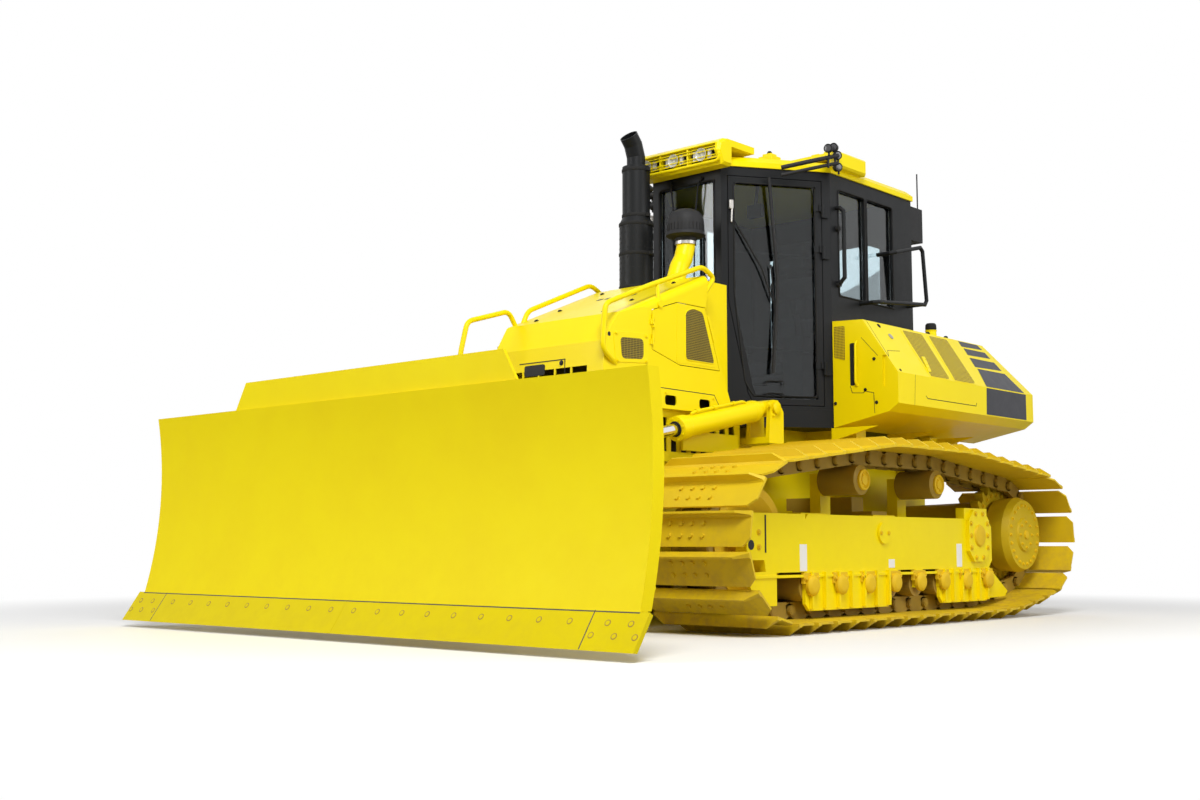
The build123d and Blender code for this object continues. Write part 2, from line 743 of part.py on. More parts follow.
def door_hinge(z, moving):
    """Half of a cab door's hinge at a height: the lower knuckle with its pin, or the upper one."""
    u, v, r = door_rear, door_hinge_out, door_hinge_r
    if moving:
        strap = block(u, u + 60, -2, v, z + seat, z + 4 * r)
        strap -= block(u + 25, u + 61, v - 8, v + 1, z, z + 5 * r)
        half = pin_z(u, v, z + seat, z + 4 * r, r) + strap
        half -= pin_z(u, v, z - 1, z + 5 * r, door_pin_r + pin_fit)
    else:
        half = pin_z(u, v, z - 4 * r, z, r) + block(u - 40, u, -2, v, z - 4 * r, z)
        half += pin_z(u, v, z - 1, z + 4 * r - 2, door_pin_r)
    plane, _ = door_frame()
    return plane * half


def door_frame():
    """Place on the slanting wall: origin at its rear corner, x forward along it, y outward."""
    run = Vector(cab_front - cab_corner_x, cab_front_half - cab_half, 0)
    return Plane(origin=(cab_corner_x, cab_half, 0), x_dir=run, z_dir=(0, 0, 1)), run.length


def door_wall(inset, depth0, depth1):
    """Prism through the slanting wall, its outline set in from the doorway, between two depths."""
    plane, length = door_frame()
    rear, front = door_rear, length - door_front
    z0, z1 = cab_floor_z + door_sill, cab_top - door_head
    points = [(rear, z0), (door_foot, z0), (door_foot + 40, z0 + 85), (front, z0 + 680), (front, z1),
              (rear, z1)]
    face = make_face(Polyline(*[(u, -depth0, z) for u, z in points], close=True))
    if inset:
        face = offset(face, amount=-inset, kind=Kind.INTERSECTION)
    return plane * extrude(face, amount=depth1 - depth0, dir=(0, -1, 0))


def cab_door(side):
    """Door as thick as the wall, with its window cut and its halves of the hinges."""
    body = door_wall(running, 0, cab_wall) - door_wall(door_rim, -1, cab_wall + 1)
    for z in door_hinges:
        body = body.fuse(door_hinge(z, True))
    return on_side(body, side)


def door_glass(side):
    return on_side(door_wall(door_rim + seat, 20, 20 + glass), side)


def cab_glass():
    """Windscreen, side panes and rear window."""
    panes = []
    near, far = cab_front - pane_in, cab_rear + pane_in
    for (half, z0, z1), x0, x1 in ((windscreen, near - glass, near), (rear_window, far, far + glass)):
        panes.append(block(x0, x1, -half + seat, half - seat, z0 + seat, z1 - seat))
    z0, z1 = side_window_z
    y = cab_half - pane_in
    for x0, x1 in side_windows:
        for side in (1, -1):
            pane = block(x0 + seat, x1 - seat, y - glass, y, z0 + seat, z1 - seat)
            panes.append(on_side(pane, side))
    return Compound(children=panes)


def cab_roof():
    """Roof cap on the cab walls with a chamfered rim and a raised middle."""
    cap = flat_plate(cab_plan(-roof_rim), cab_top + seat, cab_top + roof_cap)
    rim = [e for e in cap.edges() if e.center().Z > cab_top + roof_cap - 1]
    cap = chamfer(rim, roof_cap / 2)
    raised = flat_plate(cab_plan(110), cab_top + roof_cap - 10, cab_top + roof_cap + roof_crown)
    rim = [e for e in raised.edges() if e.center().Z > cab_top + roof_cap + roof_crown - 1]
    return join([cap, chamfer(rim, roof_crown - 15)])


def rops_beam():
    """Cross beam of the roll-over guard on the roof, with a box at each end."""
    x0, x1 = rops_x
    z0 = cab_top + roof_cap + roof_crown + seat
    parts = [block(x0 + 30, x1 - 30, -rops_half, rops_half, z0, z0 + 40)]
    for side in (1, -1):
        end = block(x0, x1, rops_half - 30, rops_half + rops_cap, z0 - rops_cap, z0 + 40)
        end = chamfer([e for e in end.edges() if e.center().Y > rops_half + rops_cap - 1], 14)
        parts.append(on_side(end - flat_plate(cab_plan(-roof_rim - seat), cab_top - 9, z0 - seat), side))
    return join(parts)


def light_bar():
    """Lamp housing over the windscreen: a hood with three lamps behind slats."""
    z0 = cab_top + roof_cap + roof_crown + seat
    foot = cab_front + roof_rim + seat
    outline = [(cab_front - 240, z0), (foot, z0), (foot, cab_top - 25), (foot + 90, cab_top - 25),
               (foot + 140, z0 - 45), (foot + 125, z0 + 15), (foot + 75, z0 + 45),
               (cab_front - 240, z0 + 45)]
    body = side_plate(outline, -lamp_half, lamp_half)
    ends = [e for e in body.edges() if abs(abs(e.center().Y) - lamp_half) < 1 and e.center().X > foot + 20]
    body = chamfer(ends, 18)
    body -= block(foot + 70, foot + 150, -lamp_half + 35, lamp_half - 35, cab_top + 2, z0 + 8)
    for i in range(lamp_count):
        y = (i - (lamp_count - 1) / 2) * 2 * (lamp_half - 40) / lamp_count
        body = body.fuse(bar((foot + 60, y, cab_top + 55), (foot + 100, y, cab_top + 55), 42))
    for z in (cab_top + 25, cab_top + 80):
        body = body.fuse(block(foot + 100, foot + 115, -lamp_half + 30, lamp_half - 30, z, z + 8))
    return body


def ac_unit():
    """Air-conditioner box on the cab's rear wall with the aerial beside it."""
    box = block(ac_rear, cab_rear - seat, ac_in, ac_out, ac_bottom, cab_top - 20)
    box = chamfer([e for e in box.edges() if e.center().X < ac_rear + 1], 30)
    return box + pin_z(ac_rear + 25, ac_out - 40, cab_top - 25, cab_top + 260, aerial_r)


def cab_rails():
    """Handrail loop beside the rear side window and a grab handle on the front pillar."""
    y0, y1 = cab_half + seat, rail_out
    x0, x1, x2, x3 = rail_xs
    foot, rise, low, high = box_crest + rail_lift, box_crest + rail_lift + 65, rail_heads[0], rail_heads[1]
    loop = [(x3, y0, foot), (x3, y1, foot), (x0, y1, rise), (x1, y1, high), (x2, y1, low), (x2, y0, low)]
    x = cab_corner_x - 70
    z0, z1 = foot + 105, cab_top - 230
    handle = [(x, y0, z1), (x, y0 + 60, z1), (x, y0 + 60, z0), (x, y0, z0)]
    brace = [(x1, y0, rise - 5), (x1, y1 - 4, rise - 5)]
    rail = join([tube_path(loop, handrail_r, rail_bend), bar(brace[0], brace[1], handrail_r - 2)])
    found = []
    for side in (1, -1):
        found.append(on_side(rail, side))
        found.append(on_side(tube_path(handle, handrail_r, rail_bend), side))
    return Compound(children=found)


def seat_unit():
    """Driver's seat on its base."""
    (x0, x1), half = seat_span, seat_half
    top = seat_pan + seat_pad
    base = block(x0 + 40, x1 - 100, -half + 80, half - 80, cab_floor_z + seat, seat_pan)
    cushion = block(x0, x1, -half, half, seat_pan - 1, top)
    outline = [(x0, top - 70), (x0 + 100, top - 70), (x0, top + seat_back), (x0 - 100, top + seat_back)]
    back = side_plate(outline, -half + 20, half - 20)
    return join([base, cushion, back])


def consoles():
    """Armrest consoles with their levers."""
    found = []
    for side in (1, -1):
        x0, x1, y0, y1, top = console_span
        body = block(x0, x1, y0, y1, cab_floor_z + seat, top)
        lever = pin_z(x1 - 60, (y0 + y1) / 2, top - 1, top + lever_reach, 18)
        found.append(on_side(join([body, lever]), side))
    return Compound(children=found)


# --- upper bodywork -----------------------------------------------------------------------------------
def exhaust_stack():
    """Exhaust in its heat shield, with an open tip that bends forward."""
    x, y = exhaust_x, exhaust_y
    shield = pin_z(x, y, hood_top + seat, exhaust_step, shield_r)
    cone = Pos(x, y, exhaust_step + 20) * Cone(shield_r, exhaust_r, 40)
    upper = pin_z(x, y, exhaust_step + 39, exhaust_head, exhaust_r)
    path = [(x, y, exhaust_head - 10), (x, y, 3110), (x + 75, y, 3198)]
    tip = tube_path(path, tip_r, tip_bend)
    bore = tube_path([(x, y, exhaust_head + 20), (x, y, 3110), (x + 82.5, y, 3206.8)], tip_r - 6, tip_bend)
    return join([shield, cone, upper, tip]) - bore


def intake_pipe():
    """Bent pipe from the hood to the precleaner."""
    x, y = exhaust_x, intake_y
    path = [(x + 110, y, hood_top - 60), (x + 95, y, hood_top + 60), (x, y, hood_top + 190),
            (x, y, intake_top)]
    return tube_path(path, intake_r, tip_bend) - hood_form(-seat)


def precleaner():
    """Mushroom head of the air intake."""
    profile = [(0, 0), (intake_r + 8, 0), (intake_r + 8, 30), (cleaner_r, 60), (cleaner_r, 165),
               (cleaner_r - 25, 200), (0, 215)]
    face = make_face(Polyline(*[(r, 0, z) for r, z in profile], close=True))
    return Pos(exhaust_x, intake_y, intake_top + seat) * revolve(face, axis=Axis.Z, revolution_arc=360)


def hood_rails():
    """Grab rails on the hood: a long one down the left side, two on the right."""
    y = rail_y
    rear = [(2545, y, 2205), (2425, y, 2150), (2530, y, 2035), (2640, y - 40, 1985)]
    left = [(3290, y - 40, 1500), (3400, y, 1545), (3475, y, 1600), (3450, y, 1860), (3050, y, 2020)] + rear
    post = bar((2985, y, 2040), (2985, y - 12, 1900), rail_r - 4)
    right = [(3215, 30 - y, 1850), (3165, 30 - y, 1950), (2700, -y, 2140)]
    right += [(px, -py, pz) for px, py, pz in rear]
    nose = [(3250, 40 - y, 1790), (3345, 40 - y, 1925), (3690, 40 - y, 1822), (3745, 40 - y, 1615),
            (3745, 40 - y, 1515), (3400, 40 - y, 1490)]
    solid = hood_form(-seat)
    found = [join([tube_path(left, rail_r, rail_bend), post]) - solid]
    for path in (right, nose):
        found.append(tube_path(path, rail_r, rail_bend) - solid)
    return Compound(children=found)


def side_box(side):
    """Tank or service box over the track with its sloping outer face and louvred panels."""
    outline = [(box_in, box_bottom), (box_out - 70, box_skirt - 50), (box_out, box_skirt),
               (box_out, box_shoulder), (box_crest_y, box_crest), (box_in, box_crest + 10)]
    body = cross_plate(outline, box_rear, box_front)
    rear_cut = [(box_rear - 1, box_shoulder), (box_slope, box_crest + 20), (box_slope, box_crest + 60),
                (box_rear - 1, box_crest + 60)]
    body -= side_plate(rear_cut, box_in - 1, box_out + 1)
    lean = math.atan2(box_crest_y - box_out, box_crest - box_shoulder)
    face = Pos(0, box_out, box_shoulder) * Rot(-math.degrees(lean), 0, 0)
    for x0 in box_louvres:
        for i in range(louvre_rows):
            z = 70 + i * louvre_step
            x = x0 - i * louvre_lean
            body -= face * block(x, x + louvre_wide, -louvre_deep, 20, z, z + louvre_step / 2)
    return on_side(body - block(box_front - 12, box_front + 1, 1100, 1130, 1500, 1700), side)


def rear_housing():
    """Cowl round the radiator between the side boxes, stepped over the hull's deck."""
    step = deck_x - running
    front = cab_rear - 2 * running
    outline = [(cowl_rear, hull_top + seat), (step, hull_top + seat), (step, deck_z + seat),
               (front, deck_z + seat), (front, cowl_top - 60), (front - 60, cowl_top),
               (cowl_rear, cowl_top)]
    room = [(cowl_rear - 1, hull_top + cowl_wall), (step - cowl_wall, hull_top + cowl_wall),
            (step - cowl_wall, cowl_top - cowl_wall), (cowl_rear - 1, cowl_top - cowl_wall)]
    outer = side_plate(outline, -cowl_half, cowl_half)
    body = outer - side_plate(room, -cowl_half + cowl_wall, cowl_half - cowl_wall)
    for z in grille_hinges:
        body = body.fuse(grille_hinge(z, False))
    return body


def radiator():
    """Cooler block with the motor shaft that carries the fan."""
    x = deck_x - running - cowl_wall - seat
    half = cowl_half - cowl_wall - seat
    core = block(x - 90, x, -half, half, hull_top + cowl_wall + seat, cowl_top - cowl_wall - seat)
    motor = bar((x - 91 + 2, 0, fan_z), (x - 150, 0, fan_z), 60)
    shaft = bar((x - 149, 0, fan_z), (x - 265, 0, fan_z), fan_shaft_r)
    return join([core, motor, shaft])


def fan():
    """Cooling fan on its hub."""
    front = deck_x - running - cowl_wall - seat - 150 - running
    x = front - 50
    hub = bar((front, 0, fan_z), (front - 100, 0, fan_z), 70)
    blades = []
    reach = fan_r - 55
    for i in range(fan_blades):
        blade = Pos(0, 0, 55 + reach / 2) * Rot(0, 0, 25) * Box(10, 120, reach)
        blades.append(Pos(x, 0, fan_z) * Rot(i * 360 / fan_blades, 0, 0) * blade)
    shaft = bar((front + 1, 0, fan_z), (front - 101, 0, fan_z), fan_shaft_r + pin_fit)
    return join([hub] + blades) - shaft


def rear_grille():
    """Hinged grille behind the fan: a frame with slats and its halves of the hinges."""
    half = cowl_half - cowl_wall - running
    z0, z1 = hull_top + cowl_wall + running, cowl_top - cowl_wall - running
    body = block(cowl_rear, cowl_rear + grille_thick, -half, half, z0, z1)
    pitch = (z1 - z0 - 2 * grille_rim) / grille_slats
    for i in range(grille_slats):
        z = z0 + grille_rim + i * pitch
        for side in (1, -1):
            y0, y1 = sorted((side * grille_rim / 2, side * (half - grille_rim)))
            body -= block(cowl_rear - 1, cowl_rear + grille_thick + 1, y0, y1, z, z + pitch * 0.6)
    for z in grille_hinges:
        body = body.fuse(grille_hinge(z, True))
    return body


def grille_hinge(z, moving):
    """Half of a rear grille hinge at a height: the lower knuckle with its pin, or the upper one."""
    x, y, r = cowl_rear - grille_hinge_out, cowl_half - cowl_wall - running, grille_hinge_r
    if moving:
        half = pin_z(x, y, z + seat, z + 5 * r, r) + block(x, cowl_rear + 2, y - 30, y, z + seat, z + 5 * r)
        return half - pin_z(x, y, z - 1, z + 6 * r, hinge_pin_r + pin_fit)
    strap = block(x, cowl_rear + 2, y, y + 25, z - 5 * r, z)
    return pin_z(x, y, z - 5 * r, z, r) + strap + pin_z(x, y, z - 1, z + 5 * r - 2, hinge_pin_r)


def drawbar():
    """Rear hitch plate with its pin bore."""
    body = block(drawbar_tip, hull_rear - seat, -140, 140, 560, 760)
    slot = block(drawbar_tip - 1, hull_rear - 60, -141, 141, 620, 700)
    bore = pin_z(drawbar_tip + 70, 0, 500, 800, 26)
    return body - slot - bore


# --- blade linkage ----------------------------------------------------------------------------------------
def c_frame():
    """Push arms, cross beam, nose and the towers that the lift cylinders pull on."""
    parts = []
    for side in (1, -1):
        outline = [(trunnion_x - 100, arm_bottom + 50), (trunnion_x - 60, arm_bottom),
                   (beam_front - 20, arm_bottom), (beam_front - 20, arm_top),
                   (trunnion_x - 60, arm_top), (trunnion_x - 100, arm_top - 50)]
        arm = side_plate(outline, arm_in, arm_out)
        arm -= pin_y(trunnion_x, trunnion_z, arm_in - 1, arm_out + 1, trunnion_r + pin_fit)
        x, z = lift_front
        towers = []
        for y0 in (arm_in - 5, beam_half - 27):
            outline = [(x - 100, arm_top - 20), (x + 78, arm_top - 20), (x + 55, z + 20), (x + 20, z + 58),
                       (x - 20, z + 58), (x - 55, z + 20)]
            towers.append(side_plate(outline, y0, y0 + 25))
        pivot = pin_z(angle_rear[0], angle_rear[1], arm_top - 10, angle_z + 50, 24)
        for item in [arm, pivot] + towers:
            parts.append(on_side(item, side))
    parts.append(block(beam_rear, beam_front, -beam_half, beam_half, arm_bottom, arm_top))
    nose_plan = [(beam_front - 10, 450), (king_x - 100, 140), (king_x - 100, -140), (beam_front - 10, -450)]
    parts.append(flat_plate(nose_plan, arm_bottom, arm_top))
    ear_plan = [(king_x - 110, 110), (king_x + 20, 90), (king_x + 65, 40), (king_x + 65, -40),
                (king_x + 20, -90), (king_x - 110, -110)]
    parts.append(flat_plate(ear_plan, arm_bottom, arm_bottom + king_ear))
    parts.append(flat_plate(ear_plan, arm_top - king_ear, arm_top))
    body = join(parts)
    return body - pin_z(king_x, 0, arm_bottom - 1, arm_top + 1, king_r + pin_fit)


def yoke():
    """Swivel between the push frame and the blade: king pin, cross beam and tilt pin."""
    z0, z1 = arm_bottom + king_ear + running, arm_top - king_ear - running
    parts = [pin_z(king_x, 0, arm_bottom + 1, arm_top - 1, king_r), pin_z(king_x, 0, z0, z1, 72),
             block(king_x, blade_back_x - 30, -110, 110, z0, z1),
             block(4350, blade_back_x - 30, -700, 700, z0 + 10, z1 - 10)]
    x, y = angle_front
    for side in (1, -1):
        front = blade_back_x - 30
        post = block(x + 88, front, y - 60, y + 60, z1 - 20, angle_z + 62)
        plan = [(x - 45, y - 40), (x + 30, y - 55), (front - 5, y - 55), (front - 5, y + 55),
                (x + 30, y + 55), (x - 45, y + 40)]
        lower = flat_plate(plan, angle_z - 62, angle_z - 37)
        upper = flat_plate(plan, angle_z + 37, angle_z + 62)
        for item in (post, lower, upper):
            parts.append(on_side(item, side))
    ear = [(tilt_base_y - 80, z1 - 20), (tilt_base_y + 90, z1 - 20),
           (tilt_base_y + 45, tilt_cylinder_z + 50), (tilt_base_y - 45, tilt_cylinder_z + 50)]
    for x0 in (tilt_cylinder_x - 55, tilt_cylinder_x + 30):
        parts.append(cross_plate(ear, x0, x0 + 20))
    parts.append(bar((tilt_cylinder_x - 50, tilt_base_y, tilt_cylinder_z),
                     (tilt_cylinder_x + 45, tilt_base_y, tilt_cylinder_z), 24))
    parts.append(bar((blade_back_x - 40, 0, tilt_z), (blade_back_x + 100, 0, tilt_z), tilt_pin_r))
    return join(parts)


def blade_curve(shift):
    """Front line of the mouldboard from the edge plate to the top, moved back by the shift."""
    return [(edge_top[0] - shift, edge_top[1]), (blade_mid[0] - shift, blade_mid[1]),
            (blade_top[0] - shift, blade_top[1])]


def blade_strip(depth0, depth1, y0, y1):
    """Curved plate of the mouldboard's height between two depths behind its front."""
    front, back = blade_curve(depth0), blade_curve(depth1)

    def at(point):
        return (point[0], y0, point[1])

    edges = [ThreePointArc(*[at(p) for p in front]), Line(at(front[2]), at(back[2])),
             ThreePointArc(*[at(p) for p in reversed(back)]), Line(at(back[0]), at(front[0]))]
    return extrude(make_face(edges), amount=y1 - y0, dir=(0, 1, 0))


def behind(z, depth):
    """Point at a height, the depth behind the mouldboard's front."""
    (x0, z0), (x1, z1), (x2, z2) = blade_curve(0)
    a, b = (x1 - x0, z1 - z0), (x2 - x0, z2 - z0)
    la, lb = a[0] ** 2 + a[1] ** 2, b[0] ** 2 + b[1] ** 2
    d = 2 * (a[0] * b[1] - a[1] * b[0])
    cx, cz = x0 + (b[1] * la - a[1] * lb) / d, z0 + (a[0] * lb - b[0] * la) / d
    r = math.hypot(x0 - cx, z0 - cz)
    return (cx - math.sqrt(r * r - (z - cz) ** 2) - depth, z)


def edge_back(share, depth):
    """Point behind the edge plate, the share of the way from its top to its tip."""
    dx, dz = edge_tip[0] - edge_top[0], edge_tip[1] - edge_top[1]
    length = math.hypot(dx, dz)
    return (edge_top[0] + share * dx + depth * dz / length, edge_top[1] + share * dz - depth * dx / length)


def moldboard():
    """Curved blade with its back beams, ribs, hub and end plates."""
    half = blade_half
    lip = edge_plate + seat
    foot = side_plate([behind(edge_top[1] + 20, 24), edge_back(0, lip), edge_back(0.75, lip),
                       edge_back(0.75, lip + 35), behind(300, 80), behind(420, 10)], -half, half)
    low_beam = side_plate([behind(360, 10), (blade_back_x + 120, 360), (blade_back_x + 80, 430),
                           (blade_back_x + 80, 590), (blade_back_x + 120, 640), behind(640, 10)],
                          -half + 250, half - 250)
    high_beam = side_plate([behind(890, 10), (blade_back_x + 130, 920), (blade_back_x + 130, 1080),
                            behind(1190, 45), behind(1180, 10)], -half + 120, half - 120)
    parts = [blade_strip(0, blade_skin + 10, -half, half), foot, low_beam, high_beam]
    for y in rib_ys:
        rib = side_plate([behind(600, 10), (blade_back_x + 120, 620), (blade_back_x + 160, 940),
                          behind(940, 10)], y - 10, y + 10)
        parts.append(rib)
        parts.append(Pos(0, -2 * y, 0) * rib)
    parts.append(block(blade_back_x, blade_back_x + 130, -130, 130, tilt_z - 130, tilt_z + 130))
    parts.append(block(blade_back_x + 40, behind(tilt_z + 160, 15)[0], -300, 300, tilt_z - 120, tilt_z + 160))
    for side in (1, -1):
        parts.append(on_side(blade_strip(0, end_depth, half - blade_skin, half), side))
    z = tilt_cylinder_z
    y = tilt_end_y
    ear = [(y - 40, z - 40), (y + 40, z - 40), (y + 60, z + 60), (y + 50, z + 115), (y - 50, z + 115),
           (y - 60, z + 60)]
    for x0 in (tilt_cylinder_x - 55, tilt_cylinder_x + 30):
        parts.append(cross_plate(ear, x0, x0 + 20))
    parts.append(block(tilt_cylinder_x - 55, blade_back_x + 140, y - 50, y + 50, z + 70, z + 115))
    top = blade_top[1] - 10
    x = behind(top, 28)[0]
    guard = [(-spill_half, top), (spill_half, top), (spill_half_top, spill_top), (-spill_half_top, spill_top)]
    parts.append(cross_plate(guard, x, x + spill_plate))
    rib = [(x - 90, top - 60), (x + 1, top - 60), (x + 1, spill_top - 30), (x - 12, spill_top - 30)]
    for y in spill_ribs:
        parts.append(side_plate(rib, y - 8, y + 8))
    socket = bar((blade_back_x - 1, 0, tilt_z), (blade_back_x + 110, 0, tilt_z), tilt_pin_r + pin_fit)
    return join(parts) - socket


def cutting_edges():
    """Bolt-on edge plates and end bits along the foot of the blade."""
    outline = [edge_tip, edge_top, edge_back(0, edge_plate), edge_back(0.93, edge_plate)]
    found = []
    for side in (1, -1):
        found.append(on_side(side_plate(outline, 1, end_bit_in - 1), side))
        found.append(on_side(side_plate(outline, end_bit_in + 1, end_bit_out), side))
    return Compound(children=found)


def cylinder_frame(rear, front):
    run = Vector(*front) - Vector(*rear)
    return run.normalized(), run.length


def lift_barrel(side):
    x, z = lift_rear
    fx, fz = lift_front
    way, length = cylinder_frame((x, lift_y, z), (fx, lift_y, fz))
    start = Vector(x, lift_y, z)
    tube = bar(tuple(start + way * 100), tuple(start + way * (length - lift_stroke_out)), lift_barrel_r)
    lug = bar(tuple(start + way * 10), tuple(start + way * 110), 50)
    head = bar(tuple(start + way * (length - lift_stroke_out - 60)),
               tuple(start + way * (length - lift_stroke_out + 20)), lift_barrel_r + 8)
    eye = pin_y(x, z, lift_y - 57, lift_y + 57, 52)
    bore = bar(tuple(start + way * 200), tuple(start + way * (length - lift_stroke_out + 21)),
               lift_rod_r + pin_fit)
    body = join([tube, head, eye, lug]) - pin_y(x, z, lift_y - 60, lift_y + 60, lift_pin_r + pin_fit)
    return on_side(body - bore, side)


def lift_rod(side):
    x, z = lift_rear
    fx, fz = lift_front
    way, length = cylinder_frame((x, lift_y, z), (fx, lift_y, fz))
    start = Vector(x, lift_y, z)
    rod = bar(tuple(start + way * lift_rod_start), tuple(start + way * (length - 40)), lift_rod_r)
    eye = pin_y(fx, fz, lift_y - 70, lift_y + 70, 52)
    return on_side(join([rod, eye]), side)


def angle_barrel(side):
    x, y = angle_rear
    fx, fy = angle_front
    way, length = cylinder_frame((x, y, angle_z), (fx, fy, angle_z))
    start = Vector(x, y, angle_z)
    tube = bar(tuple(start + way * 20), tuple(start + way * 700), angle_barrel_r)
    eye = pin_z(x, y, angle_z - 36, angle_z + 36, 46)
    body = join([tube, eye]) - pin_z(x, y, angle_z - 40, angle_z + 40, 24 + pin_fit)
    body -= bar(tuple(start + way * 70), tuple(start + way * 701), angle_rod_r + pin_fit)
    return on_side(body, side)


def angle_rod(side):
    x, y = angle_rear
    fx, fy = angle_front
    way, length = cylinder_frame((x, y, angle_z), (fx, fy, angle_z))
    start = Vector(x, y, angle_z)
    rod = bar(tuple(start + way * 360), tuple(start + way * (length - 20)), angle_rod_r)
    eye = pin_z(fx, fy, angle_z - 30, angle_z + 30, 36)
    return on_side(join([rod, eye]), side)


def tilt_barrel():
    start = Vector(tilt_cylinder_x, tilt_base_y, tilt_cylinder_z)
    way = Vector(0, 1, 0)
    eye = bar((tilt_cylinder_x - 28, tilt_base_y, tilt_cylinder_z),
              (tilt_cylinder_x + 24, tilt_base_y, tilt_cylinder_z), 46)
    tube = bar(tuple(start + way * 80), tuple(start + way * 560), 45)
    lug = bar(tuple(start + way * 10), tuple(start + way * 90), 24)
    body = join([eye, tube, lug])
    body -= bar((tilt_cylinder_x - 60, tilt_base_y, tilt_cylinder_z),
                (tilt_cylinder_x + 60, tilt_base_y, tilt_cylinder_z), 24 + pin_fit)
    return body - bar(tuple(start + way * 100), tuple(start + way * 561), 25 + pin_fit)


def tilt_rod():
    start = Vector(tilt_cylinder_x, tilt_base_y, tilt_cylinder_z)
    way = Vector(0, 1, 0)
    rod = bar(tuple(start + way * 300), tuple(start + way * (tilt_end_y - tilt_base_y - 20)), 25)
    eye = bar((tilt_cylinder_x - 28, tilt_end_y, tilt_cylinder_z),
              (tilt_cylinder_x + 24, tilt_end_y, tilt_cylinder_z), 40)
    return join([rod, eye])


# --- export --------------------------------------------------------------------------------------
single = {
    "final_drives": final_drives, "idlers": idlers, "rollers": all_rollers,
    "cross_shafts": cross_shafts, "main_frame": main_frame, "engine": engine,
    "hood": hood, "hood_rails": hood_rails, "exhaust_stack": exhaust_stack,
    "intake_pipe": intake_pipe, "precleaner": precleaner,
    "cab_floor": cab_floor, "cab_frame": cab_frame, "cab_glass": cab_glass, "cab_roof": cab_roof,
    "rops_beam": rops_beam, "light_bar": light_bar, "ac_unit": ac_unit, "cab_rails": cab_rails,
    "driver_seat": seat_unit, "consoles": consoles,
    "rear_housing": rear_housing, "radiator": radiator, "fan": fan, "rear_grille": rear_grille,
    "drawbar": drawbar,
    "c_frame": c_frame, "yoke": yoke, "moldboard": moldboard, "cutting_edges": cutting_edges,
    "tilt_barrel": tilt_barrel, "tilt_rod": tilt_rod,
}
paired = {
    "track": track, "track_frame": track_frame, "engine_door": engine_door, "cab_door": cab_door,
    "door_glass": door_glass, "side_box": side_box, "lift_barrel": lift_barrel, "lift_rod": lift_rod,
    "angle_barrel": angle_barrel, "angle_rod": angle_rod,
}

os.makedirs("parts", exist_ok=True)
for name, make in single.items():
    export_step(Pos(-origin_x, 0, 0) * make(), "parts/" + name + ".step")
for name, make in paired.items():
    for word, side in (("left", 1), ("right", -1)):
        export_step(Pos(-origin_x, 0, 0) * make(side), "parts/" + name + "_" + word + ".step")
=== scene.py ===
# Crawler bulldozer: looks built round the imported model. Metres, x forward, y left, z up.
import math

import bmesh
import bpy
from mathutils import Matrix, Vector


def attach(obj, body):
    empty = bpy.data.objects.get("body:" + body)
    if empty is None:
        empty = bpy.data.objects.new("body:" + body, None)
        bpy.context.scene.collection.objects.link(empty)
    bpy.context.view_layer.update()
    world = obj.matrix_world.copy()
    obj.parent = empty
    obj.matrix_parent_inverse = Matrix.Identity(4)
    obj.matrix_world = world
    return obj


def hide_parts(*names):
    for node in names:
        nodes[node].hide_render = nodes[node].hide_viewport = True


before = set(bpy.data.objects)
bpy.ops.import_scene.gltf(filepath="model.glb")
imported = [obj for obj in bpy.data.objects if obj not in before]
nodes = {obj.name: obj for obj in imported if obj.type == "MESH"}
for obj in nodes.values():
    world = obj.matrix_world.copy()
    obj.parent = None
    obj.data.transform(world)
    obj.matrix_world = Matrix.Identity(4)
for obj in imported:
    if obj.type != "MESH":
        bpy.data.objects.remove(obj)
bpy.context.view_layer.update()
sides = (("left", 1), ("right", -1))
axleX = -2.2385  # sprocket axle, ahead of the middle of the overall length
scene = bpy.context.scene
sharpAngle = math.radians(35)  # an edge that turns more than this stays sharp
# brown of the settled dirt low down, which is also painted shade on low, shaded faces
dustAndShadeColour = (0.36, 0.2, 0.06, 1)


def at(x, y, z):
    # a point measured forward from the sprocket axle
    return Vector((x + axleX, y, z))


def facing(direction):
    # turns the z axis to a direction
    return Vector(direction).to_track_quat("Z", "Y").to_matrix().to_4x4()


def addBox(bm, low, high, turn=None):
    low, high = Vector(low), Vector(high)
    size = high - low
    place = Matrix.Translation((low + high) / 2)
    if turn is not None:
        place = place @ turn
    place = place @ Matrix.Diagonal((*size, 1))
    return bmesh.ops.create_cube(bm, size=1, matrix=place)["verts"]


def addSlab(bm, xs, y, half, zs, turn=None):
    # a box between two x and two z, as far to each side of y as half says
    addBox(bm, at(xs[0], y - half, zs[0]), at(xs[1], y + half, zs[1]), turn)


def addRod(bm, start, end, radius, tipRadius=None, segments=16):
    start, end = Vector(start), Vector(end)
    place = Matrix.Translation((start + end) / 2) @ facing(end - start)
    tip = radius if tipRadius is None else tipRadius
    bmesh.ops.create_cone(bm, cap_ends=True, segments=segments, radius1=radius, radius2=tip,
                          depth=(end - start).length, matrix=place)


def addBolt(bm, place, normal, radius, height):
    # a hexagon head on its washer
    place, normal = Vector(place), Vector(normal).normalized()
    addRod(bm, place, place + normal * height, radius, radius * 0.9, 6)
    addRod(bm, place, place + normal * height * 0.35, radius * 1.45, segments=10)


def addBolts(bm, places, normal, radius, height):
    for place in places:
        addBolt(bm, place, normal, radius, height)


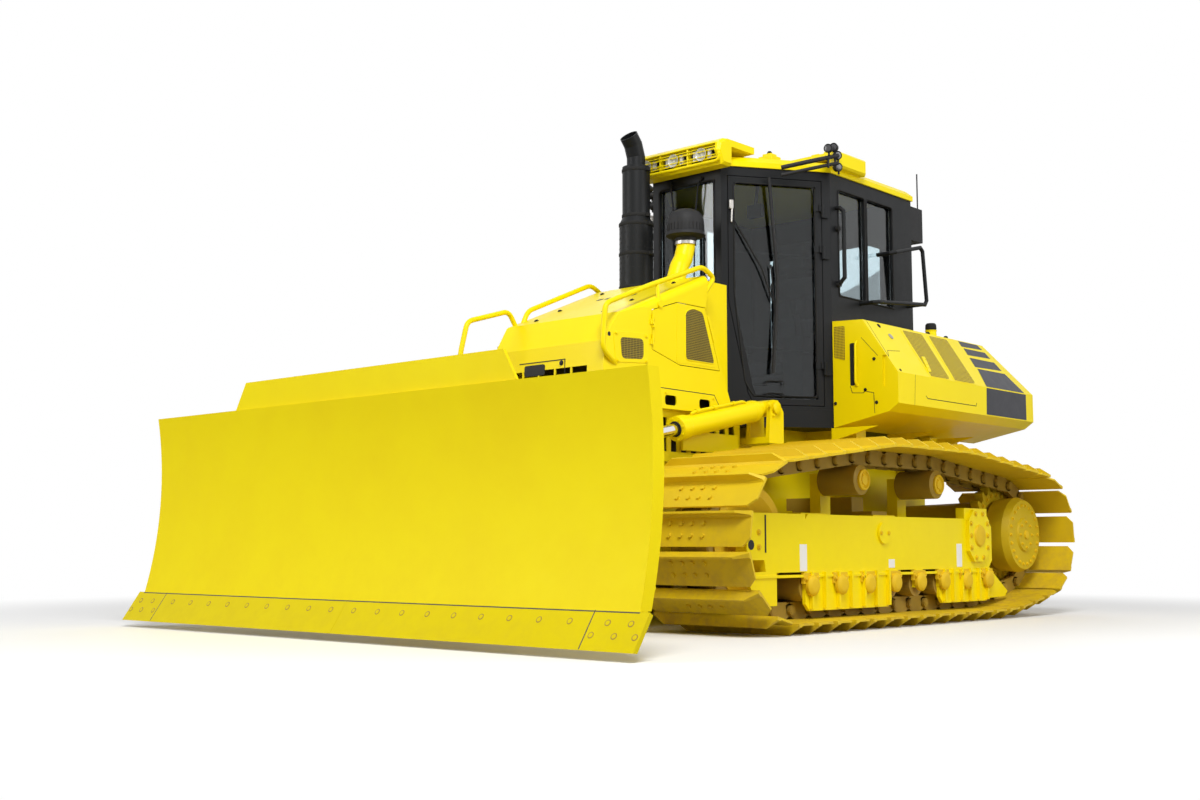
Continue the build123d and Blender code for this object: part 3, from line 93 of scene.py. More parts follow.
def addTurned(bm, profile, centre, axis, steps):
    # profile is (distance along the axis, radius), closed on the axis at both ends
    place = Matrix.Translation(centre) @ facing(axis)
    verts = [bm.verts.new(place @ Vector((radius, 0, along))) for along, radius in profile]
    edges = [bm.edges.new(pair) for pair in zip(verts, verts[1:])]
    bmesh.ops.spin(bm, geom=verts + edges, cent=centre, axis=Vector(axis).normalized(),
                   angle=2 * math.pi, steps=steps, use_merge=True)
    bmesh.ops.remove_doubles(bm, verts=bm.verts[:], dist=0.00002)


def addPlate(bm, outline, thickness, direction):
    # a flat plate from a list of points, thickened along a direction
    verts = [bm.verts.new(Vector(point)) for point in outline]
    face = bm.faces.new(verts)
    moved = bmesh.ops.extrude_face_region(bm, geom=[face])["geom"]
    step = Vector(direction).normalized() * thickness
    bmesh.ops.translate(bm, verts=[g for g in moved if isinstance(g, bmesh.types.BMVert)], vec=step)
    return verts


def roundCorner(before, corner, after, reach, steps):
    # the points of a short curve that takes a corner's place
    a = corner + (before - corner).normalized() * reach
    b = corner + (after - corner).normalized() * reach
    shares = [i / steps for i in range(steps + 1)]
    return [a * (1 - t) ** 2 + corner * 2 * t * (1 - t) + b * t ** 2 for t in shares]


def tubeMesh(points, radius, bend):
    # a round bar bent through the points
    curve = bpy.data.curves.new("bar", "CURVE")
    curve.dimensions = "3D"
    curve.bevel_depth = radius
    curve.bevel_resolution = 4
    curve.use_fill_caps = True
    points = [Vector(p) for p in points]
    route = [points[0]]
    for before, corner, after in zip(points, points[1:], points[2:]):
        route += roundCorner(before, corner, after, bend, 6)
    route.append(points[-1])
    spline = curve.splines.new("POLY")
    spline.points.add(len(route) - 1)
    for point, place in zip(spline.points, route):
        point.co = (*place, 1)
    holder = bpy.data.objects.new("bar", curve)
    mesh = bpy.data.meshes.new_from_object(holder)
    bpy.data.objects.remove(holder)
    return mesh


def addTube(bm, points, radius, bend):
    mesh = tubeMesh(points, radius, bend)
    bm.from_mesh(mesh)
    bpy.data.meshes.remove(mesh)


def addLoop(bm, ring, radius, bend=0.03):
    # a bar bent round a closed outline
    addTube(bm, ring + ring[:2], radius, bend)


def mirrored(point, side):
    return Vector((point[0], point[1] * side, point[2]))


def takeMesh(bm, name):
    mesh = bpy.data.meshes.new(name)
    bm.to_mesh(mesh)
    bm.free()
    return mesh


def putPiece(bm, name, body, paint, bevel=0, smooth=True, replaces=()):
    # closes a bmesh into a finished object that rides on its body
    bmesh.ops.remove_doubles(bm, verts=bm.verts[:], dist=0.00001)
    bmesh.ops.recalc_face_normals(bm, faces=bm.faces[:])
    mesh = takeMesh(bm, name)
    piece = bpy.data.objects.new(name, mesh)
    scene.collection.objects.link(piece)
    mesh.materials.append(paints[paint])
    if bevel:
        edge = piece.modifiers.new("edges", "BEVEL")
        edge.width = bevel
        edge.segments = 2
        edge.limit_method = "ANGLE"
        edge.angle_limit = sharpAngle
    if smooth:
        mesh.shade_smooth()
        mesh.set_sharp_from_angle(angle=sharpAngle)
    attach(piece, body)
    if replaces:
        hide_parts(*replaces)


def newGroup(name, inputs, outputs):
    group = bpy.data.node_groups.new(name, "ShaderNodeTree")
    for label, kind, value in inputs:
        socket = group.interface.new_socket(label, in_out="INPUT", socket_type=kind)
        socket.default_value = value
    for label, kind in outputs:
        group.interface.new_socket(label, in_out="OUTPUT", socket_type=kind)
    return group, group.nodes.new("NodeGroupInput"), group.nodes.new("NodeGroupOutput")


def addNode(tree, kind, **values):
    # each value is a setting of the node, or else what one of its inputs holds
    node = tree.nodes.new("ShaderNode" + kind)
    for name, value in values.items():
        if hasattr(node, name):
            setattr(node, name, value)
        else:
            node.inputs[name.replace("_", " ")].default_value = value
    return node


def setInputs(node, values):
    for name, value in values.items():
        node.inputs[name].default_value = value


def wire(tree, *links):
    # each link names a node and its output, then a node and its input
    for source, output, target, entry in links:
        tree.links.new(source.outputs[output], target.inputs[entry])


def newMaterial(name):
    material = bpy.data.materials.new(name)
    material.use_nodes = True
    return material, material.node_tree, material.node_tree.nodes["Principled BSDF"]


def makeSurfaceGroup():
    # colour drift, settled dirt and painted shade that brown the surface low down, fine grain for roughness
    # and bump
    inputs = [("Base", "NodeSocketColor", (0.5, 0.5, 0.5, 1)),
              ("Shade", "NodeSocketColor", (0.3, 0.3, 0.3, 1)),
              ("Drift", "NodeSocketFloat", 0.15), ("Dust", "NodeSocketFloat", 0.1),
              ("Dust Height", "NodeSocketFloat", 0.8), ("Grain Scale", "NodeSocketFloat", 400.0),
              ("Roughness", "NodeSocketFloat", 0.35), ("Roughness Drift", "NodeSocketFloat", 0.08)]
    outputs = [("Color", "NodeSocketColor"), ("Roughness", "NodeSocketFloat"), ("Height", "NodeSocketFloat")]
    tree, given, result = newGroup("surfaceFinish", inputs, outputs)
    place = addNode(tree, "TexCoord")
    split = addNode(tree, "SeparateXYZ")
    broad = addNode(tree, "TexNoise", Scale=2.2, Detail=4.0, Roughness=0.6)
    fine = addNode(tree, "TexNoise", Detail=2.0, Roughness=0.5)
    patch = addNode(tree, "TexNoise", Scale=14.0, Detail=6.0, Roughness=0.65)
    wire(tree, *[(place, "Object", node, "Vector") for node in (split, broad, fine, patch)])
    drift = addNode(tree, "MapRange", From_Min=0.35, From_Max=0.7)
    amount = addNode(tree, "Math", operation="MULTIPLY")
    tint = addNode(tree, "Mix", data_type="RGBA")
    wire(tree, (given, "Grain Scale", fine, "Scale"), (broad, "Fac", drift, "Value"),
         (drift, "Result", amount, 0), (given, "Drift", amount, 1), (amount, "Value", tint, "Factor"),
         (given, "Base", tint, "A"), (given, "Shade", tint, "B"))
    low = addNode(tree, "MapRange", From_Min=0.0, To_Min=1.0, To_Max=0.0)
    spots = addNode(tree, "MapRange", From_Min=0.42, From_Max=0.68)
    film = addNode(tree, "Math", operation="MULTIPLY")
    dust = addNode(tree, "Math", operation="MULTIPLY")
    cover = addNode(tree, "Mix", data_type="RGBA")
    cover.inputs["B"].default_value = dustAndShadeColour
    wire(tree, (split, "Z", low, "Value"), (given, "Dust Height", low, "From Max"),
         (patch, "Fac", spots, "Value"), (low, "Result", film, 0), (spots, "Result", film, 1),
         (film, "Value", dust, 0), (given, "Dust", dust, 1), (dust, "Value", cover, "Factor"),
         (tint, "Result", cover, "A"))
    sheen = addNode(tree, "MapRange", From_Min=0.3, From_Max=0.7)
    swing = addNode(tree, "Math", operation="MULTIPLY_ADD")
    wire(tree, (patch, "Fac", sheen, "Value"), (sheen, "Result", swing, 0),
         (given, "Roughness Drift", swing, 1), (given, "Roughness", swing, 2),
         (cover, "Result", result, "Color"), (swing, "Value", result, "Roughness"),
         (fine, "Fac", result, "Height"))
    return tree


surfaceFinish = makeSurfaceGroup()


def makeFinish(name, look):
    # a material whose colour, roughness and bump come from the shared surface group
    material, tree, shader = newMaterial(name)
    group = addNode(tree, "Group")
    group.node_tree = surfaceFinish
    setInputs(group, {"Base": (*look["base"], 1), "Shade": (*look["shade"], 1),
                      "Drift": look.get("drift", 0.3), "Dust": look.get("dust", 0.0),
                      "Dust Height": look.get("dustHeight", 0.9), "Grain Scale": look.get("grain", 400.0),
                      "Roughness": look["rough"], "Roughness Drift": look.get("roughDrift", 0.08)})
    bump = addNode(tree, "Bump", Strength=look.get("bump", 0.05), Distance=look.get("depth", 0.0006))
    wire(tree, (group, "Color", shader, "Base Color"), (group, "Roughness", shader, "Roughness"),
         (group, "Height", bump, "Height"), (bump, "Normal", shader, "Normal"))
    setInputs(shader, {"Metallic": look.get("metal", 0.0), "Specular IOR Level": look.get("gloss", 0.25),
                       "Coat Weight": look.get("coat", 0.0), "Coat Roughness": 0.12})
    return material


finishes = {
    "yellowPaint": {"base": (0.93, 0.76, 0.002), "shade": (0.86, 0.64, 0.004), "drift": 0.25, "rough": 0.3,
                    "grain": 260.0, "bump": 0.04, "gloss": 0.12, "coat": 0.04, "dust": 0.06,
                    "dustHeight": 1.0},
    "bladePaint": {"base": (0.86, 0.71, 0.002), "shade": (0.8, 0.6, 0.004), "drift": 0.4, "rough": 0.42,
                   "grain": 180.0, "bump": 0.05, "gloss": 0.08, "dust": 0.05, "dustHeight": 0.7},
    # edgePaint is a darker copy of the blade paint: painted shade on the cutting edges
    "edgePaint": {"base": (0.69, 0.565, 0.002), "shade": (0.62, 0.48, 0.004), "drift": 0.4, "rough": 0.45,
                  "grain": 180.0, "bump": 0.05, "gloss": 0.08, "dust": 0.1, "dustHeight": 0.5},
    # drivePaint, trackPaint and shoePaint are darker, browner copies of the yellow paint: painted shade on
    # the undercarriage
    "drivePaint": {"base": (0.63, 0.45, 0.005), "shade": (0.5, 0.34, 0.01), "drift": 0.4, "rough": 0.48,
                   "grain": 120.0, "bump": 0.1, "dust": 0.12, "dustHeight": 1.0},
    "trackPaint": {"base": (0.8, 0.54, 0.006), "shade": (0.6, 0.38, 0.02), "drift": 0.4, "rough": 0.48,
                   "grain": 120.0, "bump": 0.12, "dust": 0.12, "dustHeight": 1.1},
    # the shoes' heavy low dirt tint is partly painted shade
    "shoePaint": {"base": (0.76, 0.545, 0.01), "shade": (0.6, 0.4, 0.02), "drift": 0.4, "rough": 0.45,
                  "grain": 120.0, "bump": 0.1, "dust": 0.5, "dustHeight": 0.8},
    "linkPaint": {"base": (0.4, 0.27, 0.03), "shade": (0.24, 0.16, 0.04), "drift": 0.6, "rough": 0.5,
                  "grain": 140.0, "bump": 0.18, "dust": 0.3, "dustHeight": 1.3},
    "blackPaint": {"base": (0.009, 0.01, 0.011), "shade": (0.015, 0.015, 0.016), "drift": 0.4,
                   "rough": 0.38, "grain": 300.0, "bump": 0.05, "gloss": 0.15},
    "blackPlastic": {"base": (0.013, 0.013, 0.014), "shade": (0.02, 0.02, 0.021), "drift": 0.5,
                     "rough": 0.55, "grain": 700.0, "bump": 0.2, "depth": 0.0004},
    "rubber": {"base": (0.012, 0.012, 0.012), "shade": (0.02, 0.02, 0.02), "rough": 0.75,
               "grain": 500.0, "bump": 0.15},
    "chrome": {"base": (0.8, 0.8, 0.8), "shade": (0.7, 0.7, 0.7), "rough": 0.08, "gloss": 0.5,
               "roughDrift": 0.04, "metal": 1.0, "grain": 900.0, "bump": 0.01},
    "bareSteel": {"base": (0.45, 0.43, 0.4), "shade": (0.3, 0.28, 0.25), "rough": 0.35, "metal": 1.0,
                  "grain": 350.0, "bump": 0.1},
    "darkIron": {"base": (0.08, 0.075, 0.065), "shade": (0.05, 0.045, 0.04), "rough": 0.55, "metal": 0.4,
                 "grain": 200.0, "bump": 0.2},
    "stripePaint": {"base": (0.02, 0.021, 0.028), "shade": (0.028, 0.028, 0.036), "rough": 0.35,
                    "gloss": 0.3, "grain": 300.0, "bump": 0.04},
    "whitePlate": {"base": (0.85, 0.85, 0.84), "shade": (0.8, 0.8, 0.8), "rough": 0.4, "bump": 0.02},
    "seatCloth": {"base": (0.035, 0.035, 0.038), "shade": (0.05, 0.05, 0.055), "rough": 0.85,
                  "grain": 900.0, "bump": 0.5, "depth": 0.0008},
    "darkLens": {"base": (0.05, 0.05, 0.055), "shade": (0.09, 0.09, 0.1), "rough": 0.1, "gloss": 0.5,
                 "bump": 0.02},
    "lampGlass": {"base": (0.5, 0.5, 0.44), "shade": (0.35, 0.34, 0.28), "rough": 0.12, "gloss": 0.6,
                  "bump": 0.08, "grain": 500.0},
}
paints = {name: makeFinish(name, look) for name, look in finishes.items()}


def makeGlass():
    material, _, shader = newMaterial("tintedGlass")
    setInputs(shader, {"Base Color": (0.42, 0.48, 0.5, 1), "Roughness": 0.02, "IOR": 1.45,
                       "Specular IOR Level": 0.12, "Transmission Weight": 1.0})
    return material


paints["glass"] = makeGlass()
print("materials made")

paintOfNode = {
    "track": "trackPaint", "rollers": "linkPaint", "idlers": "trackPaint", "final_drives": "drivePaint",
    "cab_frame": "blackPaint", "cab_floor": "blackPaint", "cab_door": "blackPaint", "door_glass": "glass",
    "cab_glass": "glass", "cab_rails": "blackPaint", "ac_unit": "blackPlastic", "driver_seat": "seatCloth",
    "consoles": "blackPlastic", "exhaust_stack": "blackPaint", "precleaner": "blackPlastic",
    "radiator": "darkIron", "fan": "blackPlastic", "rear_grille": "blackPaint", "engine": "darkIron",
    "moldboard": "bladePaint", "cutting_edges": "edgePaint", "lift_rod": "chrome", "angle_rod": "chrome",
    "tilt_rod": "chrome", "cross_shafts": "linkPaint",
}  # every other node wears the yellow paint
for name, node in nodes.items():
    kind = name.replace("_left", "").replace("_right", "")
    paint = paints[paintOfNode.get(kind, "yellowPaint")]
    for place in node.material_slots:
        place.material = paint


def makeStageMaterial(look):
    material, tree, shader = newMaterial("studioFloor")
    setInputs(shader, {"Roughness": 0.6, "Specular IOR Level": 0.1})
    tone = addNode(tree, "Mix", data_type="RGBA")
    setInputs(tone, {"A": look["bounce"], "B": look["seen"]})
    white = addNode(tree, "Emission", Strength=1.0)
    place = addNode(tree, "TexCoord")
    away = addNode(tree, "VectorMath", operation="LENGTH")
    fade = addNode(tree, "MapRange", From_Min=look["fade"][0], From_Max=look["fade"][1],
                   interpolation_type="SMOOTHSTEP")
    rays = addNode(tree, "LightPath")
    both = addNode(tree, "Math", operation="MULTIPLY")
    mix = addNode(tree, "MixShader")
    wire(tree, (place, "Object", away, 0), (away, "Value", fade, "Value"), (fade, "Result", both, 0),
         (rays, "Is Camera Ray", both, 1), (rays, "Is Camera Ray", tone, "Factor"),
         (tone, "Result", shader, "Base Color"), (both, "Value", mix, "Fac"), (shader, "BSDF", mix, 1),
         (white, "Emission", mix, 2), (mix, "Shader", tree.nodes["Material Output"], "Surface"))
    return material


def makeStage(look):
    bm = bmesh.new()
    bmesh.ops.create_grid(bm, x_segments=2, y_segments=2, size=look["size"])
    mesh = takeMesh(bm, "studioFloor")
    floor = bpy.data.objects.new("studioFloor", mesh)
    scene.collection.objects.link(floor)
    mesh.materials.append(makeStageMaterial(look))


def makeWorld(level):
    # a weak even light that the camera, reflections and glass see as plain white
    world = bpy.data.worlds.new("studio")
    scene.world = world
    world.use_nodes = True
    tree = world.node_tree
    lit = tree.nodes["Background"]
    setInputs(lit, {"Color": (1, 1, 1, 1), "Strength": level})
    seen = addNode(tree, "Background", Color=(1, 1, 1, 1), Strength=1.0)
    rays = addNode(tree, "LightPath")
    glossy = addNode(tree, "Math", operation="MAXIMUM")
    through = addNode(tree, "Math", operation="MAXIMUM")
    mix = addNode(tree, "MixShader")
    wire(tree, (rays, "Is Camera Ray", glossy, 0), (rays, "Is Glossy Ray", glossy, 1),
         (glossy, "Value", through, 0), (rays, "Is Transmission Ray", through, 1),
         (through, "Value", mix, "Fac"), (lit, "Background", mix, 1), (seen, "Background", mix, 2),
         (mix, "Shader", tree.nodes["World Output"], "Surface"))


def addArea(name, place, target, size, power):
    lamp = bpy.data.lights.new(name, "AREA")
    lamp.shape = "DISK"
    lamp.size = size
    lamp.energy = power
    holder = bpy.data.objects.new(name, lamp)
    holder.location = place
    holder.rotation_euler = (Vector(target) - Vector(place)).to_track_quat("-Z", "Y").to_euler()
    scene.collection.objects.link(holder)


lamps = {
    "keyLamp": {"place": (5.5, 5.5, 8.5), "target": (0.3, 0.3, 1.2), "size": 4.5, "power": 850},
    "sideLamp": {"place": (-2.0, 9.0, 4.0), "target": (-0.5, 0.5, 1.0), "size": 5.0, "power": 260},
    "frontLamp": {"place": (10.0, -5.0, 4.5), "target": (2.3, -0.6, 0.8), "size": 5.0, "power": 390},
    "backLamp": {"place": (-8.0, -5.0, 6.0), "target": (0.0, 0.0, 1.5), "size": 5.0, "power": 150},
}
stageLook = {"size": 30, "fade": (3.6, 7.0), "bounce": (0.55, 0.52, 0.48, 1), "seen": (0.95, 0.95, 0.95, 1),
             "world": 0.2}  # bounce is what the floor throws back, seen is how the camera sees it
makeStage(stageLook)
makeWorld(stageLook["world"])
for name, lamp in lamps.items():
    addArea(name, lamp["place"], lamp["target"], lamp["size"], lamp["power"])

view = {"place": (7.1785, 5.815, 0.4756), "yaw": 42.068, "pitch": 5.888, "lens": 42.5, "sensor": 36.0}
camera = bpy.data.cameras.new("camera")
camera.lens = view["lens"]
camera.sensor_width = view["sensor"]
camera.clip_end = 200.0
eye = bpy.data.objects.new("camera", camera)
yaw, pitch = math.radians(view["yaw"]), math.radians(view["pitch"])
ahead = Vector((-math.cos(yaw) * math.cos(pitch), -math.sin(yaw) * math.cos(pitch), math.sin(pitch)))
eye.rotation_mode = "QUATERNION"
eye.rotation_quaternion = ahead.to_track_quat("-Z", "Y")
eye.location = view["place"]
scene.collection.objects.link(eye)
scene.camera = eye
scene.view_settings.view_transform = "Standard"
print("stage set")

trackShape = {"wheels": ((0.0, 0.555, 0.3519), (1.08, 0.874, 0.141), (1.995, 0.874, 0.141),
                         (3.08, 0.495, 0.38), (0.52, 0.244, 0.129)),  # x, z and radius of the pin line
              "pitch": 0.19, "phase": 0.06, "centre": 1.096, "half": 0.42, "plate": (0.05, 0.062),
              "grouser": 0.115, "row": 0.085, "boltPairs": (0.062, 0.128)}


def pinLine(shape):
    # start points and directions of every link, clockwise round the wheels
    wheels = shape["wheels"]
    normals = []
    for (x, z, r), (nx, nz, nr) in zip(wheels, wheels[1:] + wheels[:1]):
        normals.append(math.atan2(nz - z, nx - x) + math.acos((r - nr) / math.hypot(nx - x, nz - z)))
    path = []
    for i, (x, z, r) in enumerate(wheels):
        turn = (normals[i - 1] - normals[i]) % (2 * math.pi)
        nx, nz, nr = wheels[(i + 1) % len(wheels)]
        side = Vector((math.cos(normals[i]), math.sin(normals[i])))
        start, end = Vector((x, z)) + side * r, Vector((nx, nz)) + side * nr
        path.append(("arc", (x, z, r, normals[i - 1], turn), r * turn))
        path.append(("run", (start, end), (end - start).length))
    total = sum(part[2] for part in path)
    count = round(total / shape["pitch"])
    points = []
    for i in range(count):
        s = total * i / count + shape["phase"]
        for kind, form, length in path:
            if s <= length:
                break
            s -= length
        if kind == "arc":
            x, z, r, start, turn = form
            angle = start - turn * s / length
            points.append(Vector((x + r * math.cos(angle), z + r * math.sin(angle))))
        else:
            points.append(form[0].lerp(form[1], s / length))
    return [(a, b) for a, b in zip(points, points[1:] + points[:1])]


def linkPlace(start, end, y):
    # u along the link becomes x, outward becomes z
    along = (end - start).normalized()
    place = Matrix(((along.x, 0, -along.y), (0, 1, 0), (along.y, 0, along.x))).to_4x4()
    place.translation = at(start.x, y, start.y)
    return place


def makeShoeMesh(shape):
    # plate with its grouser, the grouser's ends and the plate's rear corners cut off
    bm = bmesh.new()
    low, high, tip, half = *shape["plate"], shape["grouser"], shape["half"]
    back = shape["pitch"] - 0.003
    outline = [(0, low), (back, low), (back, high), (0.034, high), (0.023, high + 0.012), (0.019, tip),
               (0.007, tip), (0, high)]
    addPlate(bm, [(u, -half, v) for u, v in outline], 2 * half, (0, 1, 0))
    for side in (1, -1):
        for spot, normal in (((0.01, half * side, high + 0.006), (0, 0.53 * side, 0.85)),
                             ((back, (half - 0.045) * side, low), (1, side, 0))):
            cut = bmesh.ops.bisect_plane(bm, geom=bm.verts[:] + bm.edges[:] + bm.faces[:], plane_co=spot,
                                         plane_no=normal, clear_outer=True)
            edges = [g for g in cut["geom_cut"] if isinstance(g, bmesh.types.BMEdge)]
            bmesh.ops.holes_fill(bm, edges=edges)
    row = shape["row"]
    for y in (-row - 0.028, -row + 0.05, row - 0.05, row + 0.028):
        for u in shape["boltPairs"]:
            addRod(bm, (u, y, high - 0.001), (u, y, high + 0.011), 0.0145, 0.0125, 6)
    bmesh.ops.recalc_face_normals(bm, faces=bm.faces[:])
    return takeMesh(bm, "trackShoe")


def makeLinkMesh(shape):
    # a pair of side links with their pin, bush and inner rail
    bm = bmesh.new()
    pitch = shape["pitch"]
    for side in (1, -1):
        row = shape["row"] * side
        outline = [(-0.036, -0.03), (0.02, -0.046), (pitch - 0.03, -0.046), (pitch + 0.03, -0.03),
                   (pitch + 0.034, 0.012), (pitch - 0.006, 0.034), (pitch * 0.78, 0.05), (pitch * 0.2, 0.05),
                   (0.012, 0.034), (-0.03, 0.02)]
        wall = addPlate(bm, [(u, row - 0.016, v) for u, v in outline], 0.032, (0, 1, 0))
        for vert in wall:
            vert.co.y += side * (0.008 if vert.co.x < pitch / 2 else -0.008)
        addRod(bm, (0, row + side * 0.004, 0), (0, row + side * 0.036, 0), 0.031, 0.028, 14)
        addRod(bm, (0, row + side * 0.036, 0), (0, row + side * 0.039, 0), 0.02, segments=12)
    addRod(bm, (0, -shape["row"], 0), (0, shape["row"], 0), 0.028, segments=12)
    bmesh.ops.recalc_face_normals(bm, faces=bm.faces[:])
    return takeMesh(bm, "trackLink")


def makeTracks(shape):
    shoe, link = makeShoeMesh(shape), makeLinkMesh(shape)
    chain = pinLine(shape)
    for name, side in sides:
        for mesh, kind, paint in ((shoe, "shoes", "shoePaint"), (link, "links", "linkPaint")):
            bm = bmesh.new()
            for start, end in chain:
                before = len(bm.verts)
                bm.from_mesh(mesh)
                bm.verts.ensure_lookup_table()
                bmesh.ops.transform(bm, matrix=linkPlace(start, end, shape["centre"] * side),
                                    verts=bm.verts[before:])
            hidden = ("track_" + name,) if kind == "shoes" else ()
            putPiece(bm, "track_" + kind + "_" + name, "chassis", paint, smooth=False,
                     replaces=hidden)
    bpy.data.meshes.remove(shoe)
    bpy.data.meshes.remove(link)


makeTracks(trackShape)
print("tracks made")


def roundedOutline(points, bend):
    # the outline with each corner turned in a short curve
    points = [Vector(p) for p in points]
    route = []
    for before, corner, after in zip(points[-1:] + points[:-1], points, points[1:] + points[:1]):
        reach = min(bend, (before - corner).length * 0.45, (after - corner).length * 0.45)
        route += roundCorner(before, corner, after, reach, 4)
    return route


def addPanel(bm, points, normal, lift, thick, bend):
    # a flat rounded panel that stands on a face
    normal = Vector(normal).normalized()
    outline = [p + normal * lift for p in roundedOutline(points, bend)]
    addPlate(bm, outline, thick, normal)


def addSeam(bm, points, normal, width=0.005, lift=0.0004):
    # a narrow dark line along a face, one strip for each run
    normal = Vector(normal).normalized()
    for a, b in zip(points, points[1:]):
        a, b = Vector(a), Vector(b)
        across = normal.cross(b - a).normalized() * width / 2
        ahead = (b - a).normalized() * width / 2
        corners = [a - ahead - across, b + ahead - across, b + ahead + across, a - ahead + across]
        addPlate(bm, [c - normal * 0.001 for c in corners], 0.001 + lift, normal)


def makeMeshSheet(name, look):
    # perforated sheet: rows of round holes through paint, shown by bump and by colour, the dark hole colour
    # being painted shade from the space behind
    material = makeFinish(name, look)
    tree = material.node_tree
    shader, group, bump = (tree.nodes[kind] for kind in ("Principled BSDF", "Group", "Bump"))
    place = addNode(tree, "TexCoord")
    split = addNode(tree, "SeparateXYZ")
    along = addNode(tree, "Math", operation="ADD")
    flat = addNode(tree, "CombineXYZ")
    holes = addNode(tree, "TexVoronoi", voronoi_dimensions="2D", Scale=look["pitch"], Randomness=0.0)
    edge = addNode(tree, "MapRange", From_Min=look["hole"], From_Max=look["hole"] + 0.08)
    dark = addNode(tree, "Mix", data_type="RGBA")
    dark.inputs["A"].default_value = (*look["behind"], 1)
    wire(tree, (place, "Object", split, "Vector"), (split, "X", along, 0), (split, "Y", along, 1),
         (along, "Value", flat, "X"), (split, "Z", flat, "Y"), (flat, "Vector", holes, "Vector"),
         (holes, "Distance", edge, "Value"), (edge, "Result", dark, "Factor"),
         (group, "Color", dark, "B"), (dark, "Result", shader, "Base Color"),
         (edge, "Result", bump, "Height"))
    return material


# the dark colour that fills each hole is painted shade
meshLooks = {
    "boxMesh": {"base": (0.7, 0.53, 0.01), "shade": (0.6, 0.44, 0.02), "rough": 0.5, "pitch": 95.0,
                "hole": 0.34, "behind": (0.1, 0.07, 0.01), "bump": 0.3, "depth": 0.001},
    "hoodMesh": {"base": (0.36, 0.27, 0.02), "shade": (0.28, 0.2, 0.02), "rough": 0.5, "pitch": 95.0,
                 "hole": 0.4, "behind": (0.04, 0.03, 0.01), "bump": 0.3, "depth": 0.001},
}
for name, look in meshLooks.items():
    paints[name] = makeMeshSheet(name, look)

trackY = trackShape["centre"]
runningGear = {
    "frameOut": 1.296, "rollerXs": [0.52 + 0.302857 * i for i in range(8)], "rollerZ": 0.244,
    "carriers": ((1.08, 0.874), (1.995, 0.874)), "carrierOut": trackY + 0.162, "carrierRadius": 0.093,
    "idler": (3.08, 0.495), "idlerOut": trackY + 0.125, "sprocket": (0.0, 0.555),
    "sprocketOut": trackY + 0.03, "driveOut": 1.33, "pivotCover": (0.65, 0.545),
    "pivotBolts": ((0.05, 0.145), (-0.05, 0.145), (0.115, 0.08), (-0.115, 0.08), (0.115, 0), (-0.115, 0),
                   (0.115, -0.08), (-0.115, -0.08), (0.05, -0.145), (-0.05, -0.145)),
    "recoilCover": (1.84, 0.555), "bracket": (3.13, 0.5), "hole": (3.2, 0.482),
    "slot": ((3.062, 3.074), (0.44, 0.645)), "lip": ((0.51, 3.235), (0.3, 0.316)), "ledges": (1.51, 2.3),
    "plates": ((2.705, 0.411, 0.07, 0.15), (0.89, 0.416, 0.07, 0.15), (1.748, 0.37, 0.07, 0.052)),
}


def boltRing(bm, centre, normal, radius, count, size, turn=0.0, height=0.012):
    centre, normal = Vector(centre), Vector(normal).normalized()
    place = facing(normal).to_3x3()
    for i in range(count):
        a = turn + 2 * math.pi * i / count
        spot = centre + place @ Vector((radius * math.cos(a), radius * math.sin(a), 0))
        addBolt(bm, spot, normal, size, height)


def makeRollerCaps(gear, name, side):
    bm = bmesh.new()
    out, z, normal = gear["frameOut"], gear["rollerZ"], (0, side, 0)
    for x in gear["rollerXs"]:  # half-round caps that hold the roller shafts
        addTurned(bm, [(0, 0), (0, 0.058), (0.02, 0.058), (0.03, 0.045), (0.034, 0.03), (0.028, 0)],
                  at(x, (out + 0.006) * side, z + 0.01), normal, 24)
        addSlab(bm, (x - 0.075, x + 0.075), out * side, 0.01, (z + 0.02, z + 0.082))
        feet = [at(x + dx, (out + 0.01) * side, z + 0.052) for dx in (-0.06, 0.06)]
        addBolts(bm, feet, normal, 0.012, 0.012)
    y, r = gear["carrierOut"], gear["carrierRadius"]
    for x, z in gear["carriers"]:  # ringed caps of the carrier rollers
        addTurned(bm, [(-0.01, 0), (-0.01, r - 0.028), (0.012, r - 0.03), (0.016, r - 0.042),
                       (0.004, r - 0.05), (0.004, 0.032), (0.012, 0.028), (0.012, 0)],
                  at(x, y * side, z), normal, 36)
        boltRing(bm, at(x, (y + 0.004) * side, z), normal, 0.038, 4, 0.006, 0.4, 0.006)
    putPiece(bm, "roller_caps_" + name, "chassis", "trackPaint", bevel=0.0015)


def makeFrameBolts(gear, name, side):
    bm = bmesh.new()
    out, drive, normal = gear["frameOut"], gear["driveOut"], (0, side, 0)
    x, z = gear["sprocket"]
    boltRing(bm, at(x, (drive - 0.001) * side, z), normal, 0.205, 22, 0.0095)
    boltRing(bm, at(x, (drive + 0.013) * side, z), normal, 0.088, 8, 0.008)
    boltRing(bm, at(x, gear["sprocketOut"] * side, z), normal, 0.285, 24, 0.012)
    addTurned(bm, [(0, 0), (0, 0.03), (0.01, 0.028), (0.014, 0)], at(x, (drive + 0.013) * side, z),
              normal, 18)
    x, z = gear["idler"]
    boltRing(bm, at(x, gear["idlerOut"] * side, z), normal, 0.055, 6, 0.009)
    x, z = gear["pivotCover"]
    y = (out + 0.025) * side
    addBolts(bm, [at(x + dx, y, z + dz) for dx, dz in gear["pivotBolts"]], normal, 0.012, 0.012)
    addTurned(bm, [(0, 0), (0, 0.075), (0.012, 0.068), (0.016, 0.05), (0.012, 0)], at(x, y, z), normal, 30)
    x, z = gear["recoilCover"]
    addBolts(bm, [at(x + dx, (out + 0.0135) * side, z) for dx in (-0.04, 0.045)], normal, 0.01, 0.01)
    x, z = gear["bracket"]  # beside the hole in the idler's bracket
    addBolts(bm, [at(x, out * side, z + dz) for dz in (0.05, -0.03)], normal, 0.012, 0.012)
    putPiece(bm, "frame_bolts_" + name, "chassis", "trackPaint")


